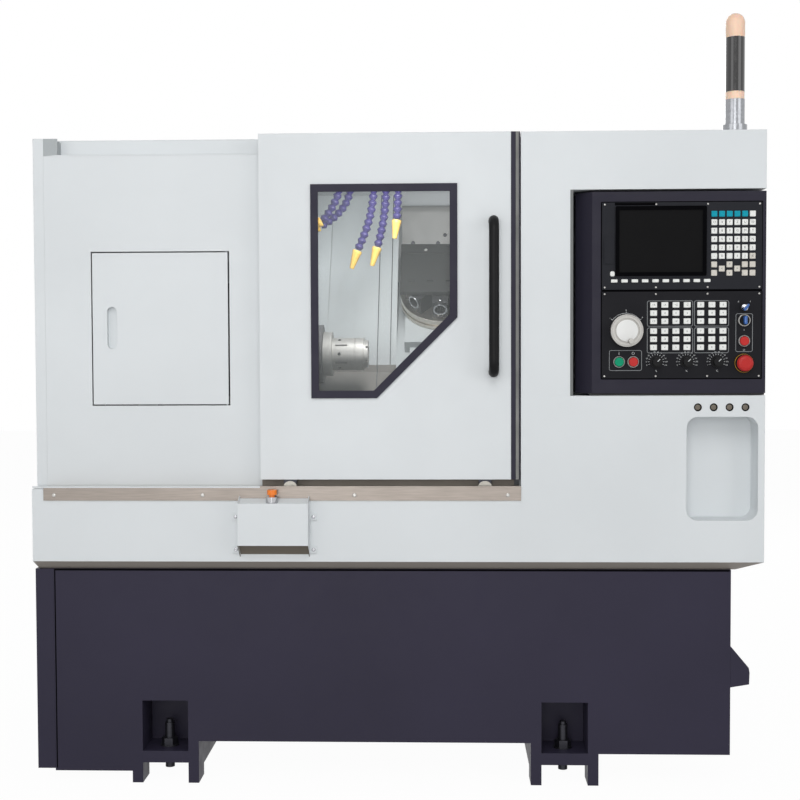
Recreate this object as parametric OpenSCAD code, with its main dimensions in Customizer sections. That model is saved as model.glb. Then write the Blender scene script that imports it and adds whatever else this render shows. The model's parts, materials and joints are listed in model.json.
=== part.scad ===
// CNC turning lathe with sliding door, slant bed and swivelling operator panel.
// Millimetres, +Z up, front towards -Y, origin on the floor under the middle of the machine.

/* [Enclosure] */
// Width of the enclosure over the side panels
enclosure_w = 1840; // [1800:10:1900]
// Height of the enclosure roof over the base casting
roof_z = 1094; // [1089:1:1109]
// Distance of the front cover in front of the middle
front_reach = 640; // [635:1:660]
// Distance of the rear cabinet wall behind the middle
rear_reach = 695; // [680:5:720]
// Thickness of the enclosure sheet
sheet_t = 3; // [2:0.5:3.5]
// Height of the apron's lower edge over the base casting
apron_z = 22; // [19:1:27]

/* [Base] */
// Height of the base casting
base_h = 551; // [546:1:553]
// Wall of the base casting
base_wall = 20; // [16:1:26]
// Width of one foot rib
rib_w = 27; // [24:1:30]
// Depth of one foot rib, front to back
rib_depth = 71; // [60:1:90]
// Diameter of the levelling screws
levelling_d = 24; // [20:2:30]

/* [Door] */
// Width of the door sheet without its edge trim
door_w = 641; // [635:1:645]
// Depth of the door pan
door_t = 30; // [26:1:30]
// Diameter of the door rollers
roller_d = 32; // [28:1:34]
// Diameter of the roller axles
axle_d = 10; // [8:1:12]
// Width of the band around the window
window_band = 19; // [14:1:24]
// Diameter of the handle bar
handle_d = 25; // [18:1:30]
// Length of the handle
handle_len = 401; // [340:1:440]

/* [Operator panel] */
// Depth of the panel box
panel_depth = 110; // [90:5:115]
// Height of the niche that holds the panel box
niche_h = 511; // [509:1:514]
// Diameter of the swivel pins
pivot_d = 14; // [10:1:18]
// Diameter of the handwheel
handwheel_d = 80; // [70:1:84]
// Diameter of the emergency stop head
estop_d = 40; // [32:1:44]
// Diameter of the override knobs
knob_d = 30; // [24:1:36]
// Diameter of the push buttons
button_d = 22; // [18:1:24]

/* [Spindle and bed] */
// Height of the spindle axis over the base casting
spindle_z = 544; // [539:1:549]
// Diameter of the bar passage in the spindle
bar_d = 46; // [36:1:52]
// Diameter of the spindle in its bearings
spindle_d = 76; // [70:1:84]
// Bore of the collet
collet_bore_d = 30; // [16:1:40]
// Diameter of the collet sleeve
sleeve_d = 91; // [84:1:98]
// Diameter of the flange ring behind the sleeve
flange_d = 125; // [110:1:136]
// Diameter of the ball screw
screw_d = 32; // [25:1:34]

/* [Turret] */
// Diameter of the turret disc
turret_d = 236; // [226:2:250]
// Number of tool stations
stations = 8; // [6:1:8]
// Bore of a tool socket
socket_d = 32; // [25:1:34]
// Diameter of the turret hub in the cross slide
hub_d = 90; // [80:2:110]

/* [Hidden] */
$fn = 64;
eps = 1;
running = 0.05;
slide_gap = 0.5;
joint_gap = 3;
seam = 0.3;

half_w = enclosure_w / 2;
roof_top = base_h + roof_z;
apron_low = base_h + apron_z;
axis_z = base_h + spindle_z;
front_y = -front_reach;
col_x = 316;
rail_z = base_h + 209;
panel_y = front_y + 45;
track_back_y = panel_y + 32;
cabinet_y = 317;

spindle_y = -200;
slant = 45;
bed_n = -190;
way_n = -160;
chamber_x0 = -330;
chamber_x1 = 600;
bed_x0 = -720;
bed_x1 = 560;

// Local frame of the slant bed: x along the spindle, y up the slope, z away from the bed.
module slanted() {
    translate([0, spindle_y, axis_z])
        rotate([slant, 0, 0])
            children();
}

// World y and z of a point given by its distance u up the slope and n away from the bed.
function slope_yz(u, n) = [
    spindle_y + u * cos(slant) - n * sin(slant),
    axis_z + u * sin(slant) + n * cos(slant)
];

// Distance up the slope at which the plane n meets the upright plane y.
function slope_u(y, n) = (y - spindle_y + n * sin(slant)) / cos(slant);

module box(x0, x1, y0, y1, z0, z1) {
    translate([x0, y0, z0])
        cube([x1 - x0, y1 - y0, z1 - z0]);
}

module along_x(x0, x1) {
    translate([x0, 0, 0])
        rotate([90, 0, 90])
            linear_extrude(x1 - x0)
                children();
}

module along_y(y0, y1) {
    translate([0, y1, 0])
        rotate([90, 0, 0])
            linear_extrude(y1 - y0)
                children();
}

module rod_x(x0, x1, y, z, d) {
    translate([x0, y, z])
        rotate([0, 90, 0])
            cylinder(h = x1 - x0, d = d);
}

module rod_y(x, z, y0, y1, d) {
    translate([x, y0, z])
        rotate([-90, 0, 0])
            cylinder(h = y1 - y0, d = d);
}

module rod_z(x, y, z0, z1, d) {
    translate([x, y, z0])
        cylinder(h = z1 - z0, d = d);
}

module rect(x0, x1, y0, y1) {
    translate([x0, y0])
        square([x1 - x0, y1 - y0]);
}

module round_rect(x0, x1, y0, y1, r) {
    rect(x0 + r, x1 - r, y0, y1);
    rect(x0, x1, y0 + r, y1 - r);
    for (x = [x0 + r, x1 - r], y = [y0 + r, y1 - r])
        translate([x, y])
            circle(r);
}

module stadium(x, y0, y1, w) {
    rect(x - w / 2, x + w / 2, y0 + w / 2, y1 - w / 2);
    for (y = [y0 + w / 2, y1 - w / 2])
        translate([x, y])
            circle(d = w);
}

// Base and feet

base_x0 = -half_w + 45;
base_x1 = half_w - 77;
base_y0 = front_y + 20;
base_y1 = 560;
beam_z = 30;
middle_z = 108;
right_z = 81;
bridge_z0 = 52;
bridge_z1 = 82;
foot_pocket_h = 130;
foot_pocket_depth = 110;
foot_w = 171;
foot_x = [-676, 342];
foot_mid = foot_w / 2;
levelling_y = 55;
pan_x = [-280, base_x1 - 43];
pan_y = [base_y0 + base_wall, -345];
pan_z = 290;
spout_y = [base_y0, base_y0 + 95];
spout_z = [253, 358];

module base_outline() {
    polygon([
        [base_x0, beam_z], [foot_x[0] + foot_w, beam_z], [foot_x[0] + foot_w, middle_z],
        [foot_x[1], middle_z], [foot_x[1], beam_z], [foot_x[1] + foot_w, beam_z],
        [foot_x[1] + foot_w, right_z], [base_x1, right_z], [base_x1, base_h], [base_x0, base_h]
    ]);
}

// Calls its child at each foot with the front edge at y = 0, the rear feet mirrored.
module at_feet() {
    for (x = foot_x) {
        translate([x, base_y0, 0])
            children();
        translate([x, base_y1, 0])
            mirror([0, 1, 0])
                children();
    }
}

module foot_ribs() {
    for (x = [0, foot_w - rib_w])
        box(x, x + rib_w, 0, rib_depth, 0, beam_z + eps);
}

module foot_cuts() {
    box(rib_w, foot_w - rib_w, -eps, foot_pocket_depth, beam_z - eps, bridge_z0);
    box(rib_w, foot_w - rib_w, -eps, foot_pocket_depth, bridge_z1, bridge_z1 + foot_pocket_h);
    rod_z(foot_mid, levelling_y, bridge_z0 - eps, bridge_z1 + eps, levelling_d + 2);
}

module base_hollows() {
    roof = base_h - base_wall;
    beam_y = [base_y0 + foot_pocket_depth + base_wall, base_y1 - foot_pocket_depth - base_wall];
    box(base_x0 + base_wall, foot_x[0] - base_wall, base_y0 + base_wall, base_y1 - base_wall, 0, roof);
    box(foot_x[0] + base_wall, foot_x[0] + foot_w - base_wall, beam_y[0], beam_y[1], 0, roof);
    box(foot_x[1] + base_wall, foot_x[1] + foot_w - base_wall, beam_y[0], pan_y[1], 0, pan_z - base_wall);
    box(foot_x[1] + base_wall, foot_x[1] + foot_w - base_wall, pan_y[1] + base_wall, beam_y[1], 0, roof);
    for (x = [[foot_x[0] + foot_w + base_wall, foot_x[1] - base_wall],
              [foot_x[1] + foot_w + base_wall, base_x1 - base_wall]]) {
        box(x[0], x[1], base_y0 + base_wall, pan_y[1], 0, pan_z - base_wall);
        box(x[0], x[1], pan_y[1] + base_wall, base_y1 - base_wall, 0, roof);
    }
}

module base_casting() {
    color([0.18, 0.17, 0.24])
        difference() {
            union() {
                along_y(base_y0, base_y1)
                    base_outline();
                at_feet()
                    foot_ribs();
            }
            at_feet()
                foot_cuts();
            base_hollows();
            box(pan_x[0], pan_x[1], pan_y[0], pan_y[1], pan_z, base_h + eps);
            box(pan_x[1] - eps, base_x1 + eps, spout_y[0] + base_wall, spout_y[1] - 4, pan_z, spout_z[1] - 8);
        }
}

module base_end_cover() {
    wall = 4;
    color([0.18, 0.17, 0.24])
        difference() {
            box(-half_w, base_x0, base_y0, base_y1, 36, base_h);
            box(-half_w + wall, base_x0 + eps, base_y0 + wall, base_y1 - wall, 36 + wall, base_h - wall);
        }
}

module spout_outline() {
    reach = base_x1 + 48;
    polygon([
        [base_x1, spout_z[0]], [reach - 1, spout_z[0] + 8], [reach, spout_z[0] + 37],
        [reach - 2, spout_z[0] + 50], [base_x1, spout_z[1]]
    ]);
}

module drain_spout() {
    wall = 4;
    color([0.18, 0.17, 0.24])
        difference() {
            along_y(spout_y[0], spout_y[1])
                spout_outline();
            translate([-wall, 0, wall + 2])
                along_y(spout_y[0] + wall, spout_y[1] - wall)
                    union() {
                        spout_outline();
                        rect(base_x1, base_x1 + wall * 2, spout_z[0], spout_z[1] + 40);
                        polygon([[base_x1, spout_z[1]], [base_x1 + 46, spout_z[0] + 50],
                                 [base_x1 + 46, spout_z[1] + 40], [base_x1, spout_z[1] + 40]]);
                    }
        }
}

module levelling_screws() {
    color("silver")
        at_feet() {
            rod_z(foot_mid, levelling_y, 26, 142, levelling_d);
            rod_z(foot_mid, levelling_y, 134, 150, levelling_d * 0.7);
            rod_z(foot_mid, levelling_y, bridge_z1, bridge_z1 + 3, levelling_d * 2);
            translate([foot_mid, levelling_y, bridge_z1 + 3])
                cylinder(h = 18, d = levelling_d * 1.75, $fn = 6);
        }
}

// Enclosure sheets

skirt_y1 = cabinet_y + sheet_t;
skirt_low = [[-half_w + 8, front_y + 28], [half_w - 65, skirt_y1]];
skirt_flange = 75;

module skirt_solid(inset) {
    hull() {
        box(-half_w + inset, half_w - inset, front_y + inset, skirt_y1 - inset, apron_low - 0.01, apron_low);
        box(skirt_low[0][0] + inset, skirt_low[1][0] - inset, skirt_low[0][1] + inset, skirt_y1 - inset,
            base_h, base_h + 0.01);
    }
}

module under_skirt() {
    x = [skirt_low[0][0], skirt_low[1][0]];
    y = [skirt_low[0][1], skirt_y1];
    color([0.43, 0.4, 0.37]) {
        difference() {
            skirt_solid(0);
            skirt_solid(sheet_t);
            box(x[0] + sheet_t, x[1] - sheet_t, y[0] + sheet_t, y[1] - sheet_t,
                base_h - eps, apron_low + eps);
        }
        difference() {
            box(x[0] + 1, x[1] - 1, y[0] + 1, y[1] - 1, base_h, base_h + sheet_t);
            box(x[0] + skirt_flange, x[1] - skirt_flange, y[0] + 40, y[1] - 40,
                base_h - eps, base_h + sheet_t + eps);
        }
    }
}

niche_x = 445;
niche_z0 = base_h + 439;
niche_z1 = niche_z0 + niche_h;
niche_back_y = front_y + 155;
pocket_x = [half_w - 193, half_w - 16.5];
pocket_z = [base_h + 127, base_h + 385.5];
pocket_r = 28;
pocket_depth = 80;
hole_d = 20;
hole_z = base_h + 409.5;
hole_x0 = half_w - 165.4;
hole_pitch = 39.1;
return_y = front_y + 40;
hair = 0.1;
pocket_side_x = half_w - 220;
pocket_rim_z = pocket_z[1] + 8;

module front_outline() {
    difference() {
        polygon([
            [-half_w, apron_low], [half_w, apron_low], [half_w, niche_z0], [niche_x, niche_z0],
            [niche_x, niche_z1], [half_w, niche_z1], [half_w, roof_top], [col_x, roof_top],
            [col_x, rail_z - sheet_t], [-half_w, rail_z - sheet_t]
        ]);
        round_rect(pocket_x[0], pocket_x[1], pocket_z[0], pocket_z[1], pocket_r);
        for (i = [0:3])
            translate([hole_x0 + i * hole_pitch, hole_z])
                circle(d = hole_d);
        rect(col_x - hair, col_x, apron_low - eps, rail_z);
        rect(pocket_side_x - hair, pocket_side_x, apron_low - eps, niche_z0 + eps);
        rect(col_x - eps, niche_x + eps, niche_z0 - hair, niche_z0);
        rect(pocket_side_x, half_w + eps, pocket_rim_z, pocket_rim_z + hair);
        for (x = [pocket_x[0] + pocket_r, pocket_x[1] - pocket_r - hair])
            rect(x, x + hair, apron_low - eps, pocket_rim_z + hair);
        for (z = [pocket_z[0] + pocket_r, pocket_z[1] - pocket_r - hair])
            rect(pocket_side_x, half_w + eps, z, z + hair);
    }
}

module front_cover() {
    t = sheet_t;
    y0 = front_y + t + seam;
    y1 = track_back_y - t;
    color([0.84, 0.86, 0.87]) {
        along_y(front_y, front_y + t)
            front_outline();
        box(col_x, col_x + t, y0, y1, rail_z - t, roof_top);
        box(col_x + t + seam, half_w - t - seam, y0, y1, roof_top - t, roof_top);
        box(-half_w + t + seam, col_x - seam, y0, panel_y - t, rail_z - 2 * t, rail_z - t);
        box(-half_w, -half_w + t, y0, panel_y, apron_low, rail_z - t);
        box(half_w - t, half_w, y0, return_y, apron_low, niche_z0);
        box(half_w - t, half_w, y0, return_y, niche_z1, roof_top);
    }
}

pivot_x = 522.5;
pivot_y = front_y + 60;

module niche_tray() {
    t = sheet_t;
    y0 = front_y + t;
    difference() {
        box(niche_x - t, half_w - t, y0, niche_back_y, niche_z0 - t, niche_z1 + t);
        box(niche_x, half_w, y0 - eps, niche_back_y - t, niche_z0, niche_z1);
        rod_z(pivot_x, pivot_y, niche_z0 - t - eps, niche_z1 + t + eps, pivot_d + 2 * running);
    }
}

module pocket_tray() {
    t = 2;
    difference() {
        along_y(front_y + sheet_t, front_y + pocket_depth)
            round_rect(pocket_x[0] - t, pocket_x[1] + t, pocket_z[0] - t, pocket_z[1] + t, pocket_r + t);
        along_y(front_y, front_y + pocket_depth - t)
            round_rect(pocket_x[0], pocket_x[1], pocket_z[0], pocket_z[1], pocket_r);
    }
}

module cover_trays() {
    color([0.84, 0.86, 0.87]) {
        niche_tray();
        pocket_tray();
    }
}

rail_x0 = -half_w + 30;
rail_drop = 32;
rail_depth = 73;

module door_rail() {
    t = sheet_t;
    color([0.75, 0.71, 0.68]) {
        box(rail_x0, col_x, front_y - t, front_y, rail_z - rail_drop, rail_z);
        box(rail_x0, col_x, front_y - t, front_y - t + rail_depth, rail_z - t, rail_z);
    }
}

left_flange = 27;
left_x0 = -half_w + left_flange;
left_x1 = -300;
left_top_z = roof_top - 41;
access_x = [-771.5, -424.5];
access_z = [base_h + 418, base_h + 804];
hinge_x = access_x[1] - 4.5;
hinge_y = panel_y + 6;
pin_d = 4;
tab_t = 3;

module hinge_tab(z) {
    difference() {
        box(hinge_x - 12, hinge_x + 8, panel_y, hinge_y + 6, z, z + tab_t);
        rod_z(hinge_x, hinge_y, z - eps, z + tab_t + eps, pin_d + 2 * running);
    }
}

module left_panel() {
    gap = joint_gap;
    color([0.84, 0.86, 0.87]) {
        along_y(panel_y, panel_y + sheet_t)
            difference() {
                rect(left_x0, left_x1, rail_z, left_top_z - sheet_t);
                rect(access_x[0] - gap, access_x[1] + gap + 1, access_z[0] - gap, access_z[1] + gap);
            }
        box(left_x1 - sheet_t, left_x1, panel_y, track_back_y, rail_z, left_top_z - sheet_t);
        hinge_tab(access_z[1] + gap);
        hinge_tab(access_z[0] - gap - tab_t);
    }
}

slot_x = -722;
slot_z = [access_z[0] + 142, access_z[0] + 249];
slot_w = 24.5;
cup_depth = 16;

module finger_cup() {
    difference() {
        along_y(panel_y + sheet_t, panel_y + cup_depth)
            stadium(slot_x, slot_z[0] - 3, slot_z[1] + 3, slot_w + 6);
        along_y(panel_y, panel_y + cup_depth - 2)
            stadium(slot_x, slot_z[0], slot_z[1], slot_w);
    }
}

module access_door() {
    t = sheet_t;
    depth = 16;
    x = access_x;
    z = access_z;
    color([0.86, 0.88, 0.89]) {
        along_y(panel_y, panel_y + t)
            difference() {
                rect(x[0], x[1], z[0], z[1]);
                stadium(slot_x, slot_z[0], slot_z[1], slot_w);
            }
        for (zz = [z[0], z[1] - t])
            box(x[0], x[1], panel_y, panel_y + depth, zz, zz + t);
        box(x[0], x[0] + t, panel_y, panel_y + depth, z[0], z[1]);
        finger_cup();
        rod_z(hinge_x, hinge_y, z[0] - joint_gap - tab_t, z[0] + 20, pin_d);
        rod_z(hinge_x, hinge_y, z[1] - 20, z[1] + joint_gap + tab_t, pin_d);
        for (zz = [z[0], z[1] - 20])
            box(hinge_x - 6, x[1], panel_y, hinge_y + 5, zz, zz + 20);
    }
}

bracket_x1 = left_x0 + 36;

module top_track() {
    t = sheet_t;
    color([0.8, 0.82, 0.83]) {
        box(left_x0, col_x, panel_y, track_back_y + t, left_top_z - t, left_top_z);
        box(left_x0, col_x, track_back_y, track_back_y + t, left_top_z, roof_top - 2);
        box(left_x0, bracket_x1, panel_y, panel_y + t, left_top_z, roof_top);
        box(bracket_x1 - t, bracket_x1, panel_y, track_back_y, left_top_z, roof_top - 6);
    }
}

bar_hole_d = 70;

module side_panels() {
    t = sheet_t;
    color([0.84, 0.86, 0.87]) {
        difference() {
            box(-half_w, -half_w + t, panel_y, cabinet_y, apron_low, roof_top);
            rod_x(-half_w - eps, -half_w + t + eps, spindle_y, axis_z, bar_hole_d);
        }
        box(-half_w, left_x0, panel_y, panel_y + t, rail_z, roof_top);
        along_x(half_w - t, half_w)
            polygon([
                [return_y, apron_low], [cabinet_y, apron_low], [cabinet_y, roof_top], [return_y, roof_top],
                [return_y, niche_z1], [niche_back_y, niche_z1], [niche_back_y, niche_z0], [return_y, niche_z0]
            ]);
    }
}

module roof_panel() {
    t = sheet_t;
    color([0.84, 0.86, 0.87]) {
        box(-half_w + t, half_w - t, track_back_y + t, cabinet_y, roof_top - t, roof_top);
        box(-half_w + t, half_w - t, track_back_y + t, track_back_y + 2 * t, roof_top - 25, roof_top);
    }
}

louvre_rows = 9;
louvre_w = 260;
cabinet_inset = 60;

module louvres() {
    for (x = [-430, 170], i = [0:louvre_rows - 1])
        box(x, x + louvre_w, rear_reach - 6, rear_reach + eps, base_h + 209 + i * 24, base_h + 217 + i * 24);
}

module electrical_cabinet() {
    t = sheet_t;
    x = half_w - cabinet_inset;
    color([0.84, 0.86, 0.87]) {
        difference() {
            box(-x, x, cabinet_y + t + seam, rear_reach, base_h + 60, roof_top);
            box(-x + t, x - t, cabinet_y + 2 * t + seam, rear_reach - t, base_h + 60 + t, roof_top - t);
            louvres();
            for (sx = [-x - eps, -1.5, x - 1.5])
                box(sx, sx + 3, rear_reach - 1.5, rear_reach + eps, base_h + 80, roof_top - 20);
            box(-100, 100, 380, 480, base_h, base_h + 70);
        }
        box(-half_w, half_w, cabinet_y, cabinet_y + t, apron_low, roof_top);
    }
}

// Work chamber and bed

bed_front_y = -345;
bed_back_y = 297;
bed_rear_foot_y = 120;
way_w = 60;
way_u = [-120, 330];
screw_u = 105;
screw_n = -170;
boss_d = 165;

function bed_z(y) = slope_yz(slope_u(y, bed_n), bed_n)[1];

module chamber_lining() {
    t = sheet_t;
    y0 = track_back_y + 2 * t;
    back = bed_back_y;
    top = roof_top - t;
    lip = 2;
    color([0.8, 0.82, 0.83]) {
        difference() {
            along_x(chamber_x0 - t, chamber_x0)
                polygon([
                    [y0 + t, base_h + t], [bed_front_y - lip, base_h + t],
                    [bed_front_y - lip, bed_z(bed_front_y)], [bed_front_y, bed_z(bed_front_y) + lip],
                    [back, bed_z(back) + lip], [back, top], [y0 + t, top]
                ]);
            rod_x(chamber_x0 - t - eps, chamber_x0 + eps, spindle_y, axis_z, boss_d + 2);
        }
        box(chamber_x0 - t, chamber_x1 + t, back + seam, back + seam + t, bed_z(back) - 200, top);
        along_x(chamber_x1, chamber_x1 + t)
            polygon([[niche_back_y, base_h + t], [back, base_h + t], [back, top], [niche_back_y, top]]);
    }
}

bed_wall = 32;
bed_outline_z = bed_z(bed_back_y) - 215;

module bed_outline() {
    polygon([
        [bed_front_y, base_h], [bed_front_y, bed_z(bed_front_y)], [bed_back_y, bed_z(bed_back_y)],
        [bed_back_y, bed_outline_z], [bed_rear_foot_y, base_h + 120], [bed_rear_foot_y, base_h]
    ]);
}

module bed_core() {
    w = bed_wall;
    y0 = bed_front_y + w;
    polygon([
        [y0, base_h + w], [y0, bed_z(y0) - w * 1.5], [bed_back_y - w, bed_z(bed_back_y - w) - w * 1.5],
        [bed_back_y - w, bed_outline_z + w], [bed_rear_foot_y - w, base_h + 120 + w / 3],
        [bed_rear_foot_y - w, base_h + w]
    ]);
}

module bed_casting() {
    color([0.3, 0.31, 0.33])
        difference() {
            union() {
                difference() {
                    along_x(bed_x0, bed_x1)
                        bed_outline();
                    for (x = [[bed_x0 + bed_wall, chamber_x0 - 20], [chamber_x0 + 20, 70], [140, 520]])
                        along_x(x[0], x[1])
                            bed_core();
                }
                slanted() {
                    for (u = way_u)
                        box(chamber_x0 + 8, bed_x1, u - way_w / 2, u + way_w / 2, bed_n - eps, way_n);
                    for (x = [chamber_x0 + 8, bed_x1 - 40])
                        box(x, x + 32, screw_u - 34, screw_u + 34, bed_n - eps, saddle_n[0] - 1.5);
                }
            }
            slanted()
                rod_x(chamber_x0, bed_x1, screw_u, screw_n, screw_d + 2 * running);
        }
}

module ball_screw() {
    color("silver")
        slanted()
            rod_x(chamber_x0 + 9, bed_x1 - 9, screw_u, screw_n, screw_d);
}

// Outline of one way cover leaf, lying the depth d under the outermost skin.
leaf_t = 2;
leaf_pitch = 2.8;
fold_y = -56;
leaf_high_n = -125;
leaf_low_n = -140;
leaf_u0 = -190;
leaf_back_y = bed_back_y - 14;
leaf_top = roof_top - 45;
wall_leaf_x = -224;

function leaf_line(d) = [
    [leaf_back_y + d, leaf_top],
    [fold_y + d, slope_yz(slope_u(fold_y, leaf_high_n), leaf_high_n)[1]],
    slope_yz(slope_u(fold_y + d, leaf_low_n - d), leaf_low_n - d),
    slope_yz(leaf_u0, leaf_low_n - d)
];

function flipped(p) = [for (i = [len(p) - 1:-1:0]) p[i]];

module leaf(x0, x1, level) {
    d = level * leaf_pitch;
    along_x(x0, x1)
        polygon(concat(leaf_line(d), flipped(leaf_line(d + leaf_t))));
}

leaf_len = 230;
saddle_x = [-16, 244];
carriage_x = (saddle_x[0] + saddle_x[1]) / 2;

module way_cover_fixed() {
    color([0.66, 0.67, 0.69])
        union() {
            leaf(chamber_x0, -68, 0);
            leaf(chamber_x0, wall_leaf_x, -1);
        }
}

module way_cover_middle() {
    color([0.66, 0.67, 0.69])
        leaf(-33 - leaf_len, -33, 1);
}

// Headstock, spindle and drive

headstock_x = [-700, -336];
boss_x1 = -217;
bearing_len = 60;
pulley_x = [-800, -746];
pulley_d = 150;
drive_d = 110;
motor_y = -452;
motor_z = base_h + 164;
motor_x = [-735, -420];
motor_d = 190;
motor_flange = 196;
motor_fin = 6;
shaft_d = 38;
belt_t = 6;
belt_gap = 0.4;

module headstock() {
    y = spindle_y;
    z = axis_z;
    color([0.27, 0.28, 0.3])
        difference() {
            union() {
                rod_x(headstock_x[0], headstock_x[1], y, z, 230);
                rod_x(headstock_x[1] - eps, boss_x1, y, z, boss_d);
                slanted()
                    box(headstock_x[0] + 20, headstock_x[1] - 6, -100, 100, bed_n, 0);
            }
            rod_x(headstock_x[0] - eps, boss_x1 + eps, y, z, spindle_d + 2 * running);
            rod_x(headstock_x[0] + bearing_len, boss_x1 - bearing_len, y, z, spindle_d + 24);
        }
}

module spindle() {
    y = spindle_y;
    z = axis_z;
    color([0.72, 0.72, 0.72])
        difference() {
            union() {
                rod_x(pulley_x[0] - 40, boss_x1 + 2, y, z, spindle_d);
                rod_x(pulley_x[0], pulley_x[1], y, z, pulley_d);
                for (x = [pulley_x[0] - 3, pulley_x[1] - 1])
                    rod_x(x, x + 4, y, z, pulley_d + 10);
                rod_x(boss_x1 + 1.5, -191, y, z, flange_d);
            }
            rod_x(pulley_x[0] - 50, -180, y, z, bar_d);
        }
}

sleeve_x = [-191, -127];
ring_x1 = -102;
cap_x1 = -90;
notches = 6;

module collet_chuck() {
    y = spindle_y;
    z = axis_z;
    color([0.78, 0.78, 0.77])
        difference() {
            union() {
                rod_x(sleeve_x[0], sleeve_x[1], y, z, sleeve_d);
                rod_x(sleeve_x[1] - eps, sleeve_x[1] + 2, y, z, sleeve_d - 4);
                rod_x(sleeve_x[1] + 2, ring_x1, y, z, sleeve_d);
                rod_x(ring_x1 - eps, cap_x1, y, z, sleeve_d - 14);
            }
            rod_x(sleeve_x[0] - eps, cap_x1 + eps, y, z, collet_bore_d);
            for (a = [0:60:300])
                translate([0, y, z])
                    rotate([a, 0, 0])
                        box(-181, -148, -4, 4, sleeve_d / 2 - 4, sleeve_d / 2 + eps);
            for (a = [30:60:330])
                translate([-170, y, z])
                    rotate([a, 0, 0])
                        translate([0, 0, sleeve_d / 2 - 12])
                            cylinder(h = 20, d = 9);
            for (i = [0:notches - 1])
                translate([0, y, z])
                    rotate([i * 360 / notches, 0, 0])
                        box(cap_x1 - 6, cap_x1 + eps, -3, 3, collet_bore_d / 2 - eps, sleeve_d / 2);
        }
}

module spindle_motor() {
    half = motor_flange / 2;
    color([0.25, 0.26, 0.28])
        difference() {
            union() {
                rod_x(motor_x[0] + 30, motor_x[1], motor_y, motor_z, motor_d);
                box(motor_x[0], motor_x[0] + 30, motor_y - half, motor_y + half,
                    motor_z - half, motor_z + half);
                box(motor_x[0] + 40, motor_x[1] - 30, motor_y - 80, motor_y + 80, base_h, motor_z);
                for (a = [20:20:340])
                    translate([0, motor_y, motor_z])
                        rotate([a, 0, 0])
                            box(motor_x[0] + 50, motor_x[1] - 20, -2, 2,
                                motor_d / 2 - 5, motor_d / 2 + motor_fin);
            }
            rod_x(motor_x[0] - eps, motor_x[0] + 60, motor_y, motor_z, shaft_d + 2 * running);
        }
}

module motor_pulley() {
    color([0.6, 0.6, 0.6]) {
        rod_x(pulley_x[0], pulley_x[1], motor_y, motor_z, drive_d);
        for (x = [pulley_x[0] - 3, pulley_x[1] - 1])
            rod_x(x, x + 4, motor_y, motor_z, drive_d + 10);
        rod_x(pulley_x[1], motor_x[0] + 50, motor_y, motor_z, shaft_d);
    }
}

// Outline of a loop round the two pulleys, with the radius grown by g.
module loop_outline(g) {
    hull() {
        translate([spindle_y, axis_z])
            circle(d = pulley_d + 2 * g, $fn = 96);
        translate([motor_y, motor_z])
            circle(d = drive_d + 2 * g, $fn = 96);
    }
}

module drive_belt() {
    color([0.1, 0.1, 0.1])
        along_x(pulley_x[0] + 3, pulley_x[1] - 3)
            difference() {
                loop_outline(belt_gap + belt_t);
                loop_outline(belt_gap);
            }
}

// Saddle, cross slide and turret

saddle_n = [-150, -115];
saddle_u = [-150, 545];
cross_rail_h = 20;
cross_rail_w = 30;
cross_rail_dx = 75;
slide_n = [-114.5, -72];
slide_u = [120, 462];
slide_w = 210;
turret_u = 287;
disc_n = [-70, -34];
holder_n = [-34, 27];
holder_r = [58, turret_d / 2 - 8];
holder_w = 46;
socket_n = 4;
screw_hole_n = -24;
head_u = 412;
head_n = -32;
guard_u0 = 212;
guard_n = [31, 43];
guard_t = 14;
guard_w = turret_d;

module saddle() {
    x = saddle_x;
    n = saddle_n;
    color([0.3, 0.31, 0.33])
        slanted() {
            difference() {
                union() {
                    box(x[0], x[1], saddle_u[0], saddle_u[1], n[0], n[1]);
                    for (u = way_u)
                        box(x[0] + 10, x[1] - 10, u - way_w / 2, u + way_w / 2,
                            way_n + slide_gap, n[0] + eps);
                    box(carriage_x - 34, carriage_x + 34, screw_u - 34, screw_u + 34, bed_n + 4, n[0] + eps);
                }
                rod_x(x[0], x[1], screw_u, screw_n, screw_d + 2 * running);
            }
            for (dx = [-cross_rail_dx, cross_rail_dx])
                box(carriage_x + dx - cross_rail_w / 2, carriage_x + dx + cross_rail_w / 2,
                    saddle_u[0] + 10, slide_u[1] + 6, n[1] + seam, n[1] + cross_rail_h);
        }
}

module way_cover_end() {
    color([0.66, 0.67, 0.69])
        leaf(saddle_x[0] - leaf_len, saddle_x[0], 2);
}

housing_y = [215, 288];
housing_top = axis_z + 466;
housing_w = 240;
housing_r = 24;

function saddle_top(y) = slope_yz(slope_u(y, saddle_n[1]), saddle_n[1])[1];

module motor_housing() {
    y = housing_y;
    r = housing_r;
    color([0.85, 0.86, 0.86])
        along_x(carriage_x - housing_w / 2, carriage_x + housing_w / 2) {
            polygon([
                [y[0], saddle_top(y[0])], [y[1], saddle_top(y[1])], [y[1], housing_top],
                [y[0] + r, housing_top], [y[0] + r, housing_top - r], [y[0], housing_top - r]
            ]);
            translate([y[0] + r, housing_top - r])
                circle(r);
        }
}

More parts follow.
